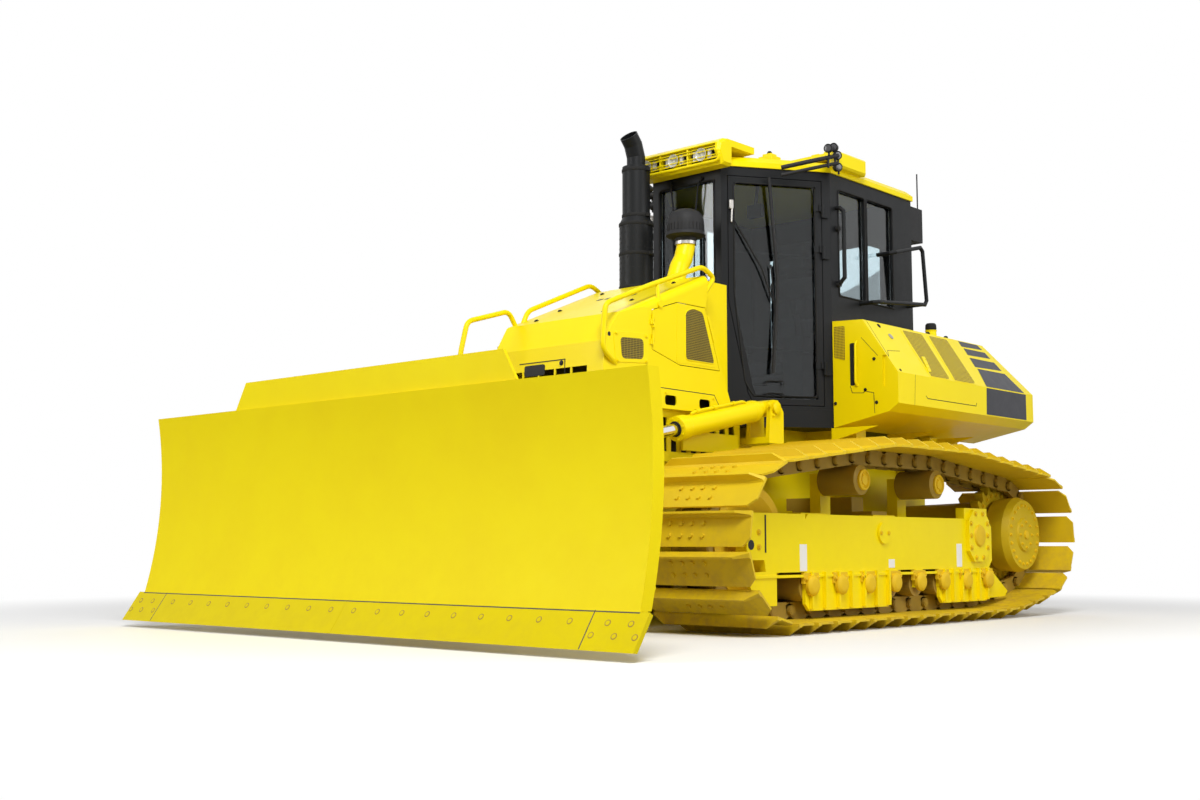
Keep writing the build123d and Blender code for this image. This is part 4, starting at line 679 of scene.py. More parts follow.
def makeFrameMarks(gear, name, side):
    out = gear["frameOut"]
    bm = bmesh.new()
    # a black disc paints the shade in the bracket's hole, and a black strip paints the shadow in the gap
    # beside the bracket
    x, z = gear["hole"]
    addRod(bm, at(x, (out - 0.001) * side, z), at(x, (out + 0.0015) * side, z), 0.027, segments=28)
    xs, zs = gear["slot"]
    addSlab(bm, xs, (out + 0.0012) * side, 0.0012, zs)
    putPiece(bm, "frame_hole_" + name, "chassis", "blackPlastic", smooth=False)
    bm = bmesh.new()
    for x, z, wide, tall in gear["plates"]:
        low = at(x - wide / 2, out * side - 0.001, z - tall / 2)
        addBox(bm, low, at(x + wide / 2, out * side + 0.0018, z + tall / 2))
    putPiece(bm, "blank_plates_" + name, "chassis", "whitePlate", bevel=0.0006)
    bm = bmesh.new()
    xs, zs = gear["lip"]
    addSlab(bm, xs, (out - 0.012) * side, 0.02, zs)
    for x in gear["ledges"]:
        addSlab(bm, (x, x + 0.26), (out - 0.16) * side, 0.05, (0.64, 0.668))
    putPiece(bm, "frame_lip_" + name, "chassis", "yellowPaint", bevel=0.002)


def makeRunningGear(gear):
    for name, side in sides:
        makeRollerCaps(gear, name, side)
        makeFrameBolts(gear, name, side)
        makeFrameMarks(gear, name, side)


makeRunningGear(runningGear)
print("running gear made")

bladeTrim = {"edgeTop": (4.887, 0.203), "edgeTip": (4.997, 0.04), "normal": (0.829, 0.0, 0.56),
             "bolts": [-1.58 + 0.1859 * i for i in range(18)], "endBolts": (1.735, 1.80, 1.865, 1.93, 1.98),
             "boltRows": (0.3, 0.62), "seamY": 1.7, "seamEnd": 1.95, "lugs": (0.7, 1.55)}


def makeBladeTrim(trim):
    normal = Vector(trim["normal"])
    top, tip = Vector(trim["edgeTop"]), Vector(trim["edgeTip"])
    high, low = trim["boltRows"]
    rows = [(y, high) for y in trim["bolts"]]
    rows += [(y * side, high if i % 2 else low) for i, y in enumerate(trim["endBolts"]) for side in (1, -1)]
    marks, heads = bmesh.new(), bmesh.new()
    for y, share in rows:  # countersunk plough bolts, each in a dark ring of painted shade where its dimple is
        spot = top.lerp(tip, share)
        place = at(spot[0], y, spot[1])
        addRod(marks, place - normal * 0.001, place + normal * 0.001, 0.017, 0.016, 16)
        addRod(heads, place + normal * 0.0008, place + normal * 0.0018, 0.0115, 0.011, 12)
    putPiece(marks, "edge_bolt_marks", "blade", "linkPaint")
    putPiece(heads, "edge_bolts", "blade", "edgePaint")
    bm = bmesh.new()  # shadow line between the mouldboard and its edge plates
    line, foot = top.lerp(tip, 0.025), top.lerp(tip, 0.96)
    addSeam(bm, [at(line[0], y, line[1]) for y in (-trim["seamEnd"], trim["seamEnd"])], normal, 0.006, 0.0006)
    for y in (trim["seamY"], -trim["seamY"]):
        addSeam(bm, [at(top[0], y, top[1]), at(foot[0], y, foot[1])], normal, 0.006, 0.0003)
    putPiece(bm, "edge_seams", "blade", "darkIron", smooth=False)
    bm = bmesh.new()
    for side in (1, -1):  # lifting lugs and stiffening tubes behind the blade
        for y in trim["lugs"]:
            addSlab(bm, (4.56, 4.72), y * side, 0.012, (1.09, 1.15))
        addTube(bm, [at(4.47, 0.3 * side, 0.92), at(4.5, 0.62 * side, 0.89), at(4.52, 1.2 * side, 0.89)],
                0.014, 0.05)
    putPiece(bm, "blade_ribs", "blade", "bladePaint", bevel=0.002)


makeBladeTrim(bladeTrim)
print("blade made")

hoodTrim = {
    "side": 0.49, "taperFrom": 3.09, "taper": 0.11, "slope": (2.5, 2.16, 0.4024), "noseX": 3.4405,
    "doorMesh": ((2.745, 1.895), (2.67, 1.925), (2.572, 1.912), (2.455, 1.6), (2.745, 1.6)),
    "doorSkin": ((2.83, 1.93), (2.56, 1.93), (2.425, 1.578), (2.83, 1.578)),
    "latchStrip": ((2.508, 1.9), (2.53, 1.895), (2.462, 1.73), (2.44, 1.735)),
    "shoulderFrame": ((3.372, 1.712), (3.098, 1.72), (3.098, 1.545), (3.352, 1.53)),
    "shoulderMesh": ((3.318, 1.68), (3.135, 1.685), (3.135, 1.565), (3.305, 1.555)),
    "shoulderBolts": ((3.35, 1.7), (3.112, 1.704), (3.112, 1.556), (3.335, 1.542)),
    "lowSeam": ((3.08, 1.412), (2.46, 1.406), (2.4, 1.327)),
    "lowBolts": ((2.935, 1.386), (2.47, 1.386), (2.418, 1.322)),
    "topBolts": ((2.62, 0.3), (2.62, -0.3), (3.02, 0.3), (3.02, -0.3), (3.25, 0.28), (3.25, -0.28)),
    "slots": (2.82, [-0.14 + 0.07 * i for i in range(5)]),
    "stack": (2.37, -0.22), "cleaner": (2.37, 0.2), "shieldRows": 12, "shieldHoles": 18, "vanes": 28,
    "bands": ((2.175, 0.1145), (2.4, 0.1145), (2.6, 0.1145), (2.66, 0.0945), (2.97, 0.0945)),
    "railFeet": ((3.295, 0.445, 1.505), (2.64, 0.462, 1.985), (2.64, -0.462, 1.985), (3.23, -0.458, 1.835),
                 (2.985, 0.486, 1.91)),
}
railRoutes = {
    "left": ((3.29, 0.43, 1.5), (3.4, 0.47, 1.545), (3.475, 0.47, 1.6), (3.45, 0.47, 1.86),
             (3.05, 0.47, 2.02), (2.545, 0.47, 2.205), (2.425, 0.47, 2.15), (2.53, 0.47, 2.035),
             (2.64, 0.44, 1.99)),
    "right": ((3.215, -0.44, 1.85), (3.165, -0.44, 1.95), (2.7, -0.47, 2.14), (2.545, -0.47, 2.205),
              (2.425, -0.47, 2.15), (2.53, -0.47, 2.035), (2.64, -0.44, 1.99)),
    "nose": ((3.25, -0.43, 1.79), (3.345, -0.43, 1.925), (3.69, -0.43, 1.822), (3.745, -0.43, 1.615),
             (3.745, -0.43, 1.515), (3.4, -0.43, 1.49)),
}


def hoodSide(x, z, side, lift=0.0):
    # a point on the hood's side, which closes in ahead of the shoulder
    y = hoodTrim["side"] - max(0.0, x - hoodTrim["taperFrom"]) * hoodTrim["taper"]
    return at(x, (y + lift) * side, z)


def hoodLine(points, side, lift=0.0):
    return [hoodSide(x, z, side, lift) for x, z in points]


def hoodTop(x, y):
    # a point on the slope of the hood
    start, height, fall = hoodTrim["slope"]
    return at(x, y, height - (x - start) * fall)


def makeHoodTrim(trim):
    for name, side in sides:
        flat, slant = Vector((0, side, 0)), Vector((trim["taper"], side, 0)).normalized()
        door = "engine_door_body_" + name
        bm = bmesh.new()
        addPanel(bm, hoodLine(trim["doorMesh"], side), flat, 0.0018, 0.0012, 0.03)
        putPiece(bm, "door_mesh_" + name, door, "hoodMesh", smooth=False)
        bm = bmesh.new()  # raised rim round the mesh and the latch strip down the rear edge
        addLoop(bm, roundedOutline(hoodLine(trim["doorMesh"], side, 0.002), 0.03), 0.0035, 0.002)
        addPanel(bm, hoodLine(trim["doorSkin"], side), flat, 0.0002, 0.0014, 0.02)
        addPanel(bm, hoodLine(trim["latchStrip"], side), flat, 0.0, 0.004, 0.006)
        putPiece(bm, "door_rim_" + name, door, "yellowPaint")
        bm = bmesh.new()
        addPanel(bm, hoodLine(trim["shoulderMesh"], side), slant, 0.0036, 0.001, 0.03)
        putPiece(bm, "shoulder_mesh_" + name, "chassis", "hoodMesh", smooth=False)
        bm = bmesh.new()
        addPanel(bm, hoodLine(trim["shoulderFrame"], side), slant, -0.001, 0.0045, 0.025)
        addBolts(bm, hoodLine(trim["shoulderBolts"], side, 0.003), slant, 0.009, 0.008)
        addBolts(bm, hoodLine(trim["lowBolts"], side), flat, 0.009, 0.008)
        addBolt(bm, hoodSide(3.05, 1.77, side), flat, 0.012, 0.012)
        putPiece(bm, "shoulder_frame_" + name, "chassis", "yellowPaint", bevel=0.0015)
        bm = bmesh.new()
        addSeam(bm, hoodLine(trim["lowSeam"], side), flat)
        addRod(bm, hoodSide(3.4, 1.69, side, -0.001), hoodSide(3.4, 1.69, side, 0.0012), 0.013, segments=20)
        putPiece(bm, "hood_seams_" + name, "chassis", "blackPlastic", smooth=False)


def makeHoodTop(trim):
    bm = bmesh.new()
    slope = Vector((0.33, 0, 0.82)).normalized()
    addBolts(bm, [hoodTop(x, y) for x, y in trim["topBolts"]], slope, 0.011, 0.009)
    x, ys = trim["slots"]
    for y in ys:  # row of slots across the slope, each a dark patch of painted shade
        corners = ((-0.02, -0.022), (0.02, -0.022), (0.02, 0.022), (-0.02, 0.022))
        addPanel(bm, [hoodTop(x + dx, y + dy) for dx, dy in corners], slope, 0.0, 0.001, 0.012)
    nose = Vector((1, 0, 0.04))
    x = trim["noseX"]
    addSeam(bm, [at(x + 0.0035, -0.226, 1.565), at(x + 0.0035, 0.148, 1.565), at(x + 0.0075, 0.148, 1.3)],
            nose, 0.005, 0.002)
    # a dark plate paints the shade inside the vent's mouth on the nose
    vent = ((-0.183, 1.485), (-0.015, 1.485), (-0.015, 1.55), (-0.183, 1.55))
    addPanel(bm, [at(x + 0.004, y, z) for y, z in vent], nose, 0.0, 0.004, 0.015)
    addBolt(bm, at(x + 0.003, 0.12, 1.545), nose, 0.011, 0.01)
    putPiece(bm, "hood_marks", "chassis", "blackPlastic", smooth=False)


def makeHoodRails(routes, feet):
    bm = bmesh.new()
    for route in routes.values():
        addTube(bm, [at(*p) for p in route], 0.016, 0.045)
    addRod(bm, at(2.985, 0.47, 2.045), at(2.985, 0.482, 1.92), 0.012)  # stay under the left rail
    for x, y, z in feet:
        side = 1 if y > 0 else -1
        addRod(bm, at(x, y - 0.01 * side, z), at(x, y + 0.014 * side, z), 0.026, 0.022, 18)
    putPiece(bm, "hood_grab_rails", "chassis", "yellowPaint", replaces=("hood_rails",))


def makeStack(trim):
    x, y = trim["stack"]
    bm = bmesh.new()
    for z, r in trim["bands"]:
        addTurned(bm, [(-0.012, r - 0.006), (-0.012, r), (-0.006, r + 0.0025), (0.006, r + 0.0025),
                       (0.012, r), (0.012, r - 0.006), (-0.012, r - 0.006)], at(x, y, z), (0, 0, 1), 40)
        addBox(bm, at(x - 0.015, y + r, z - 0.012), at(x + 0.015, y + r + 0.018, z + 0.012))
    for row in range(trim["shieldRows"]):  # small dark discs round the heat shield, painted shade in its holes
        for i in range(trim["shieldHoles"]):
            a = math.pi * (i + 0.5 * (row % 2)) / (trim["shieldHoles"] / 2)
            out = Vector((math.cos(a), math.sin(a), 0))
            spot = at(x, y, 2.2 + row * 0.034) + out * 0.112
            addRod(bm, spot, spot + out * 0.0013, 0.006, segments=6)
    putPiece(bm, "stack_bands", "chassis", "rubber")
    x, y = trim["cleaner"]
    bm = bmesh.new()
    addTurned(bm, [(0, 0), (0, 0.07), (0.02, 0.07), (0.03, 0.12), (0.036, 0.128), (0.05, 0.126),
                   (0.06, 0.118), (0.13, 0.118), (0.165, 0.112), (0.19, 0.092), (0.206, 0.06),
                   (0.213, 0.03), (0.214, 0)], at(x, y, 2.4305), (0, 0, 1), 56)
    for i in range(trim["vanes"]):  # vanes at the foot of the dome
        a = 2 * math.pi * i / trim["vanes"]
        spot = at(x, y, 0) + Vector((math.cos(a), math.sin(a), 0)) * 0.116
        vane = addBox(bm, (-0.006, -0.003, 2.495), (0.006, 0.003, 2.54))
        bmesh.ops.transform(bm, matrix=Matrix.Translation(spot) @ Matrix.Rotation(a, 4, "Z"), verts=vane)
    putPiece(bm, "air_cleaner", "chassis", "blackPlastic", replaces=("precleaner",))
    bm = bmesh.new()
    addTurned(bm, [(-0.01, 0.062), (-0.01, 0.069), (0.01, 0.069), (0.01, 0.062), (-0.01, 0.062)],
              at(x, y, 2.418), (0, 0, 1), 36)
    putPiece(bm, "intake_clamp", "chassis", "bareSteel")


makeHoodTrim(hoodTrim)
makeHoodTop(hoodTrim)
makeHoodRails(railRoutes, hoodTrim["railFeet"])
makeStack(hoodTrim)
print("hood made")

cabTrim = {
    "lampYs": (-0.2333, 0.0, 0.2333), "lampX": 2.222, "lampZ": 3.025, "slatZs": (2.988, 3.008, 3.044, 3.064),
    "doorStart": (1.47, 0.72), "doorRun": (0.64, -0.43), "headZ": 2.915, "grabBars": (1.76, 2.4),
    "roofLamps": ((1.62, 3.09, 1, 0.2, -0.1), (1.555, 3.11, 1, 0.3, 0), (1.51, 3.065, 0.5, 1, -0.1),
                  (1.505, 2.985, 0.5, 1, -0.2)),  # x, z and the way that each lamp looks
    "rearLamp": (0.38, 0.3, 2.89), "screen": (2.111, 0.235, (1.895, 2.885)),
    "rearWindow": (0.399, 0.565, (1.945, 2.865)),
    "sideWindows": (0.7205, ((0.67, 1.01), (1.04, 1.37)), (2.146, 2.874)),
    "armrest": ((0.98, 1.4), 0.42, 0.075, (1.881, 1.915)), "pedals": (1.7, 1.78),
    "lever": ((1.44, 0.42, 1.88), (1.46, 0.42, 1.99), (1.47, 0.41, 2.06)),
    "dashTop": ((1.9, 2.05), 0.22, (1.84, 1.87)),
    "insideBoxes": (((1.93, 2.05), 0.24, (1.371, 1.84)), ((0.47, 0.62), 0.6, (1.371, 1.95)),
                    ((0.45, 0.47), 0.62, (2.68, 2.95))),  # dashboard, rear shelf, rolled blind
    "seatBoxes": (((0.9, 1.28), 0.18, (1.3705, 1.6)), ((0.87, 1.37), 0.25, (1.6, 1.652)),
                  ((0.775, 0.8), 0.235, (1.72, 2.56))),  # foot, pan and back
}


def doorPoint(along, z, side, lift):
    # a point on the slanting door wall, measured forward from its rear corner
    run = Vector((*cabTrim["doorRun"], 0)).normalized()
    out = Vector((-run.y, run.x, 0))
    spot = Vector((*cabTrim["doorStart"], z)) + run * along + out * lift
    return mirrored(at(*spot), side)


def doorOut(side):
    run = Vector((*cabTrim["doorRun"], 0)).normalized()
    return Vector((-run.y, run.x * side, 0))


def makeLightBar(trim):
    reflectors, grid, shells = bmesh.new(), bmesh.new(), bmesh.new()
    for y in trim["lampYs"]:
        centre = at(trim["lampX"], y, trim["lampZ"])
        addTurned(reflectors, [(0.004, 0), (0.004, 0.02), (0.022, 0.04), (0.03, 0.043), (0.03, 0.04),
                               (0.012, 0.018), (0.01, 0)], centre, (1, 0, 0), 32)
        for dy in (-0.06, 0.06):
            addBox(reflectors, centre + Vector((0.0, dy - 0.012, -0.03)),
                   centre + Vector((0.016, dy + 0.012, 0.03)))
    addBox(grid, at(2.193, -0.352, 2.975), at(2.204, 0.352, 3.08))
    for z in trim["slatZs"]:
        addRod(shells, at(2.246, -0.37, z), at(2.246, 0.37, z), 0.0035, segments=8)
    for y in (-0.117, 0.117):
        addSlab(shells, (2.2, 2.243), y, 0.006, (2.975, 3.08))
    rim = ((2.235, 2.968), (2.243, 3.03), (2.222, 3.092))
    addTube(shells, [at(x, -0.375, z) for x, z in rim] + [at(x, 0.375, z) for x, z in rim[::-1]]
            + [at(rim[0][0], -0.375, rim[0][1])], 0.011, 0.035)
    putPiece(reflectors, "lamp_reflectors", "chassis", "lampGlass")
    putPiece(grid, "lamp_back", "chassis", "rubber", smooth=False)
    putPiece(shells, "lamp_slats", "chassis", "yellowPaint")


def addWorkLamp(bodies, lenses, centre, aim, radius):
    aim = Vector(aim).normalized()
    addTurned(bodies, [(-0.045, 0), (-0.045, radius * 0.55), (-0.02, radius * 0.95), (0.008, radius),
                       (0.012, radius * 0.9), (0.004, radius * 0.82), (0.004, 0)], centre, aim, 28)
    addTurned(lenses, [(0.0042, 0), (0.0042, radius * 0.8), (0.008, radius * 0.74), (0.011, 0)],
              centre, aim, 24)


def makeRoofKit(trim):
    bodies, lenses = bmesh.new(), bmesh.new()
    for side in (1, -1):
        arm = [at(1.86, 0.6 * side, 2.95), at(1.74, 0.74 * side, 2.99), at(1.6, 0.805 * side, 3.035),
               at(1.515, 0.815 * side, 3.06)]
        addTube(bodies, arm, 0.015, 0.04)
        addTube(bodies, [p - Vector((0, 0, 0.05)) for p in arm], 0.012, 0.04)
        for x, z in ((1.535, 3.035), (1.62, 2.995)):
            addRod(bodies, at(x, 0.808 * side, z - 0.035), at(x, 0.808 * side, z + 0.02), 0.008)
        for x, z, ahead, aside, up in trim["roofLamps"]:
            addWorkLamp(bodies, lenses, at(x, 0.81 * side, z), (ahead, aside * side, up), 0.03)
            addRod(bodies, at(x - 0.01, 0.808 * side, z - 0.045), at(x - 0.01, 0.808 * side, z), 0.007)
        x, y, z = trim["rearLamp"]
        addWorkLamp(bodies, lenses, at(x, y * side, z), (-1, 0, -0.15), 0.045)
        addRod(bodies, at(x + 0.02, y * side, z), at(x + 0.045, y * side, z + 0.05), 0.012)
    putPiece(bodies, "work_lamps", "chassis", "blackPlastic")
    putPiece(lenses, "work_lamp_glass", "chassis", "darkLens")
    bm = bmesh.new()
    addBox(bm, at(1.51, 0.245, 3.076), at(1.62, 0.355, 3.135))
    addBox(bm, at(1.53, 0.265, 3.135), at(1.6, 0.335, 3.155))
    for y in (0.6, -0.6):
        addSlab(bm, (1.14, 1.46), y, 0.03, (3.1145, 3.122))
    for x, y in ((0.55, 0.45), (0.95, 0.45), (1.85, 0.28)):
        addBolts(bm, [at(x, y, 3.0735), at(x, -y, 3.0735)], (0, 0, 1), 0.012, 0.01)
    putPiece(bm, "roof_box", "chassis", "yellowPaint", bevel=0.004)
    bm = bmesh.new()
    addTurned(bm, [(0, 0), (0, 0.016), (0.014, 0.018), (0.024, 0.01), (0.026, 0)], at(1.565, 0.3, 3.154),
              (0, 0, 1), 20)
    putPiece(bm, "roof_knob", "chassis", "rubber")


def makeDoorKit(trim):
    for name, side in sides:
        body, out = "cab_door_body_" + name, doorOut(side)
        metal, dark = bmesh.new(), bmesh.new()

        def line(*points):
            return [doorPoint(along, z, side, lift) for along, z, lift in points]

        addBox(metal, (-0.014, -0.012, -0.03), (0.014, 0.012, 0.03))
        place = Matrix.Translation(doorPoint(0.705, 2.71, side, 0.012)) @ facing(out)
        bmesh.ops.transform(metal, matrix=place @ Matrix.Rotation(math.pi / 2, 4, "X"), verts=metal.verts[:])
        addRod(metal, *line((0.7, 2.7, 0.018), (0.705, 2.59, 0.018)), 0.006)
        putPiece(metal, "door_handle_" + name, body, "bareSteel", bevel=0.003)
        top = trim["headZ"] - 0.052
        ring = ((0.112, 1.45), (0.56, 1.45), (0.615, 1.54), (0.682, 2.1), (0.682, top), (0.112, top))
        addLoop(dark, line(*[(u, z, 0.0005) for u, z in ring]), 0.0055)  # rubber seal of the glass
        for z in trim["grabBars"]:  # grab bars across the inside of the glass
            addTube(dark, line((0.1, z, -0.052), (0.1, z, -0.085), (0.64, z + 0.02, -0.085),
                               (0.64, z + 0.02, -0.052)), 0.009, 0.03)
        addTube(dark, line((0.69, 2.62, 0.004), (0.5, 2.3, 0.014), (0.42, 2.08, 0.012)), 0.006, 0.05)
        addTube(dark, line((0.43, 2.32, 0.008), (0.4, 1.9, 0.008)), 0.005, 0.01)  # wiper on its arm
        for z in (1.52, 1.44):  # step-side pull embossed low on the door
            addTube(dark, line((0.35, z, 0.002), (0.35, z + 0.03, 0.004), (0.47, z + 0.03, 0.004),
                               (0.47, z, 0.002)), 0.004, 0.015)
        putPiece(dark, "door_trim_" + name, body, "rubber")


def makeCabTrim(trim):
    bm = bmesh.new()
    for y, foot in ((0.13, 0.06), (-0.13, -0.06)):  # windscreen wipers, parked upright
        addTube(bm, [at(2.118, y, 2.91), at(2.128, y * 0.9, 2.88), at(2.124, foot, 2.45)], 0.006, 0.03)
        addTube(bm, [at(2.104, foot + 0.005, 2.62), at(2.104, foot - 0.005, 2.1)], 0.005, 0.01)
        addRod(bm, at(2.105, y, 2.91), at(2.128, y, 2.91), 0.016)
    x, half, (low, high) = trim["screen"]
    addLoop(bm, [at(x, y, z) for y, z in ((half, low), (half, high), (-half, high), (-half, low))], 0.007)
    x, half, (low, high) = trim["rearWindow"]
    addLoop(bm, [at(x, y, z) for y, z in ((half, low), (half, high), (-half, high), (-half, low))], 0.007)
    wall, spans, (low, high) = trim["sideWindows"]
    for side in (1, -1):
        for x0, x1 in spans:
            ring = ((x0 - 0.004, low), (x1 + 0.004, low), (x1 + 0.004, high), (x0 - 0.004, high))
            addLoop(bm, [at(x, wall * side, z) for x, z in ring], 0.006)
        for z in (2.22, 2.6):  # brackets of the outer handrail
            addRod(bm, at(1.395, 0.722 * side, z), at(1.395, 0.742 * side, z), 0.02)
    addTube(bm, [at(0.402, -0.2, 2.9), at(0.392, -0.15, 2.6), at(0.392, -0.1, 2.2)], 0.006, 0.05)
    putPiece(bm, "window_seals", "chassis", "rubber")


def makeCabInside(trim):
    bm = bmesh.new()
    xs, y, half, zs = trim["armrest"]
    for side in (1, -1):  # armrests with their levers
        addSlab(bm, xs, y * side, half, zs)
        addTube(bm, [at(px, py * side, pz) for px, py, pz in trim["lever"]], 0.012, 0.03)
        addTurned(bm, [(0, 0), (0, 0.018), (0.03, 0.026), (0.07, 0.028), (0.09, 0.02), (0.095, 0)],
                  at(1.47, 0.41 * side, 2.04), (0.1, 0, 1), 20)
    addBox(bm, at(1.62, 0.17, 2.71), at(1.66, 0.29, 2.8))
    addTube(bm, [at(1.64, 0.23, 2.8), at(1.64, 0.25, 2.93)], 0.012, 0.02)
    for xs, half, zs in trim["insideBoxes"]:
        addSlab(bm, xs, 0.0, half, zs)
    xs, half, zs = trim["dashTop"]
    addSlab(bm, xs, 0.0, half, zs, Matrix.Rotation(math.radians(-12), 4, "Y"))
    for side in (1, -1):  # guides of the blind
        addSlab(bm, (0.45, 0.47), 0.56 * side, 0.07, (1.9, 2.7))
    addTube(bm, [at(1.86, 0.5, 2.9), at(1.8, 0.52, 2.2), at(1.84, 0.5, 1.6)], 0.012, 0.1)
    for x in trim["pedals"]:
        for y in (0.12, -0.12):
            addSlab(bm, (x - 0.05, x), y, 0.04, (1.39, 1.41), Matrix.Rotation(math.radians(20), 4, "Y"))
    putPiece(bm, "cab_inside", "chassis", "blackPlastic", bevel=0.006)


padding = {"rounding": 0.03, "grid": 0.009, "quickGrid": 0.014, "pressure": 4, "steps": 20, "swell": 0.012,
           "seamDepth": 0.011, "channelWidth": 0.035, "sideSeams": (-0.55, 0.55), "sideSeamWidth": 0.04}


def swellPad(pad, soft):
    # lets the pressure of a cloth simulation fill the pad, held close to its first shape
    still = [v.co.copy() for v in pad.data.vertices]
    cloth = pad.modifiers.new("cloth", "CLOTH")
    cloth.settings.use_pressure = True
    cloth.settings.uniform_pressure_force = soft["pressure"]
    cloth.settings.effector_weights.gravity = 0
    for step in range(1, soft["steps"] + 1):
        scene.frame_set(step)
    keepMesh(pad)
    scene.frame_set(1)
    for vert, rest in zip(pad.data.vertices, still):
        moved = vert.co - rest
        if moved.length > soft["swell"]:
            vert.co = rest + moved.normalized() * soft["swell"]


def makeCushion(name, low, high, crown, channels, axis, soft):
    # a crowned pad with pulled-in sides and sewn channels
    bm = bmesh.new()
    addBox(bm, low, high)
    bmesh.ops.bevel(bm, geom=bm.edges[:], offset=soft["rounding"], offset_type="OFFSET", segments=3,
                    profile=0.5, affect="EDGES", material=-1)
    bmesh.ops.recalc_face_normals(bm, faces=bm.faces[:])
    pad = bpy.data.objects.new(name, takeMesh(bm, name))
    scene.collection.objects.link(pad)
    remesh = pad.modifiers.new("grid", "REMESH")
    remesh.mode = "VOXEL"
    remesh.voxel_size = soft["grid"]
    keepMesh(pad)
    swellPad(pad, soft)
    middle, size = (low + high) / 2, high - low
    up = 2 if axis == 0 else 0
    for vert in pad.data.vertices:
        across = (vert.co.y - middle.y) / (size.y / 2)
        along = (vert.co[axis] - middle[axis]) / (size[axis] / 2)
        if vert.co[up] <= middle[up]:
            continue
        vert.co[up] += crown * (max(0.0, 1 - across * across) * max(0.0, 1 - along * along))
        for line in channels:
            vert.co[up] -= soft["seamDepth"] * math.exp(-(abs(along - line) / soft["channelWidth"]) ** 2)
        for line in soft["sideSeams"]:
            vert.co[up] -= soft["seamDepth"] * math.exp(-((across - line) / soft["sideSeamWidth"]) ** 2)
    smooth = pad.modifiers.new("soft", "SUBSURF")
    smooth.levels = smooth.render_levels = 1
    pad.data.materials.append(paints["seatCloth"])
    pad.data.shade_smooth()
    return pad


def keepMesh(piece):
    # applies the modifiers to the mesh
    view = bpy.context.evaluated_depsgraph_get()
    mesh = bpy.data.meshes.new_from_object(piece.evaluated_get(view))
    old = piece.data
    piece.modifiers.clear()
    piece.data = mesh
    bpy.data.meshes.remove(old)


def makeSeat(trim, soft):
    half = 0.235
    seatPads = {
        "seat_cushion": (at(0.885, -half, 1.655), at(1.365, half, 1.745), 0.016, (-0.3, 0.3), 0),
        "seat_back": (at(0.8, -half + 0.02, 1.78), at(0.875, half - 0.02, 2.44), 0.016, (-0.5, 0.0, 0.5), 2),
        "head_rest": (at(0.79, -0.2, 2.465), at(0.87, 0.2, 2.7), 0.014, (0.0,), 2),
    }
    shell = bmesh.new()
    for xs, wide, zs in trim["seatBoxes"]:
        addSlab(shell, xs, 0.0, wide, zs)
    for y in (-0.08, 0.08):
        addRod(shell, at(0.83, y, 2.4), at(0.83, y, 2.5), 0.009)
    putPiece(shell, "seat_shell", "chassis", "blackPlastic", bevel=0.008,
             replaces=("driver_seat",))
    for name, (start, end, crown, channels, axis) in seatPads.items():
        pad = makeCushion(name, start, end, crown, channels, axis, soft)
        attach(pad, "chassis")
        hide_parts("driver_seat")


makeLightBar(cabTrim)
makeRoofKit(cabTrim)
makeDoorKit(cabTrim)
makeCabTrim(cabTrim)
makeCabInside(cabTrim)
makeSeat(cabTrim, padding)
print("cab made")

boxTrim = {
    "foot": (1.21, 1.585), "crest": (0.955, 1.95), "front": 1.475, "panelZs": (1.592, 1.938, 1.588),
    "panels": (((0.998, 1.928), (0.735, 1.928), (0.785, 1.6), (0.82, 1.575), (1.04, 1.575), (1.03, 1.66)),
               ((0.636, 1.93), (0.38, 1.93), (0.42, 1.6), (0.47, 1.575), (0.715, 1.575), (0.7, 1.64))),
    "latch": ((0.99, 1.735), (0.945, 1.74), (1.0, 1.625), (1.045, 1.62)),
    "latchBolts": ((0.97, 1.715), (1.0, 1.675), (1.015, 1.65)),
    "stripes": (((0.19, 1.944), (-0.1, 1.944), (-0.128, 1.908), (0.197, 1.9)),
                ((0.186, 1.888), (-0.14, 1.888), (-0.16, 1.842), (0.194, 1.835)),
                ((0.2, 1.814), (-0.18, 1.814), (-0.21, 1.752), (0.215, 1.741)),
                ((0.2, 1.73), (-0.225, 1.73), (-0.33, 1.589), (0.262, 1.589))),
    "lowStripe": ((0.268, 1.58), (-0.345, 1.58), (-0.345, 1.392), (0.275, 1.392)),
    "frontMesh": ((0.735, 1.925), (0.822, 1.918), (0.82, 1.69), (0.735, 1.715)),
    "frontSlot": ((0.856, 1.8), (0.896, 1.8), (0.892, 1.52), (0.856, 1.52)),
    "frontBolts": ((1.037, 1.682), (0.968, 1.486), (1.05, 1.398), (0.74, 1.41)),
    "frontSeams": ((((0.856, 1.515), (0.87, 1.472), (0.955, 1.466), (0.97, 1.486)), 0.004),
                   (((0.97, 1.475), (1.03, 1.462), (1.035, 1.33)), 0.004),
                   (((0.945, 1.83), (1.063, 1.702)), 0.003)),
    "slantSeam": ((1.43, 1.948), (1.46, 1.69), (1.42, 1.735), (1.25, 1.75)),
    "wallSeams": ((((1.12, 1.455), (1.1, 1.44), (0.43, 1.44), (0.42, 1.46)), 0.005),
                  (((1.255, 1.583), (1.27, 1.387)), 0.003)),
    "plugs": ((1.3, 1.925, 0.018, 0.015, 20), (1.425, 1.6, 0.011, 0.009, 16)), "lock": (1.235, 1.855),
    "filler": (0.4, 0.86), "vents": ((0.52, 0.9), (0.26, 0.9)),
}


def slantPoint(x, z, side, lift=0.0):
    # a point on the box's sloping face at a height
    (y0, z0), (y1, z1) = boxTrim["foot"], boxTrim["crest"]
    share = (z - z0) / (z1 - z0)
    out = Vector((0, z1 - z0, y0 - y1)).normalized()
    spot = at(x, y0 + (y1 - y0) * share, z) + out * lift
    return mirrored(spot, side)


def slantLine(points, side, lift=0.0):
    return [slantPoint(x, z, side, lift) for x, z in points]


def slantOut(side):
    (y0, z0), (y1, z1) = boxTrim["foot"], boxTrim["crest"]
    return Vector((0, (z1 - z0) * side, y0 - y1)).normalized()


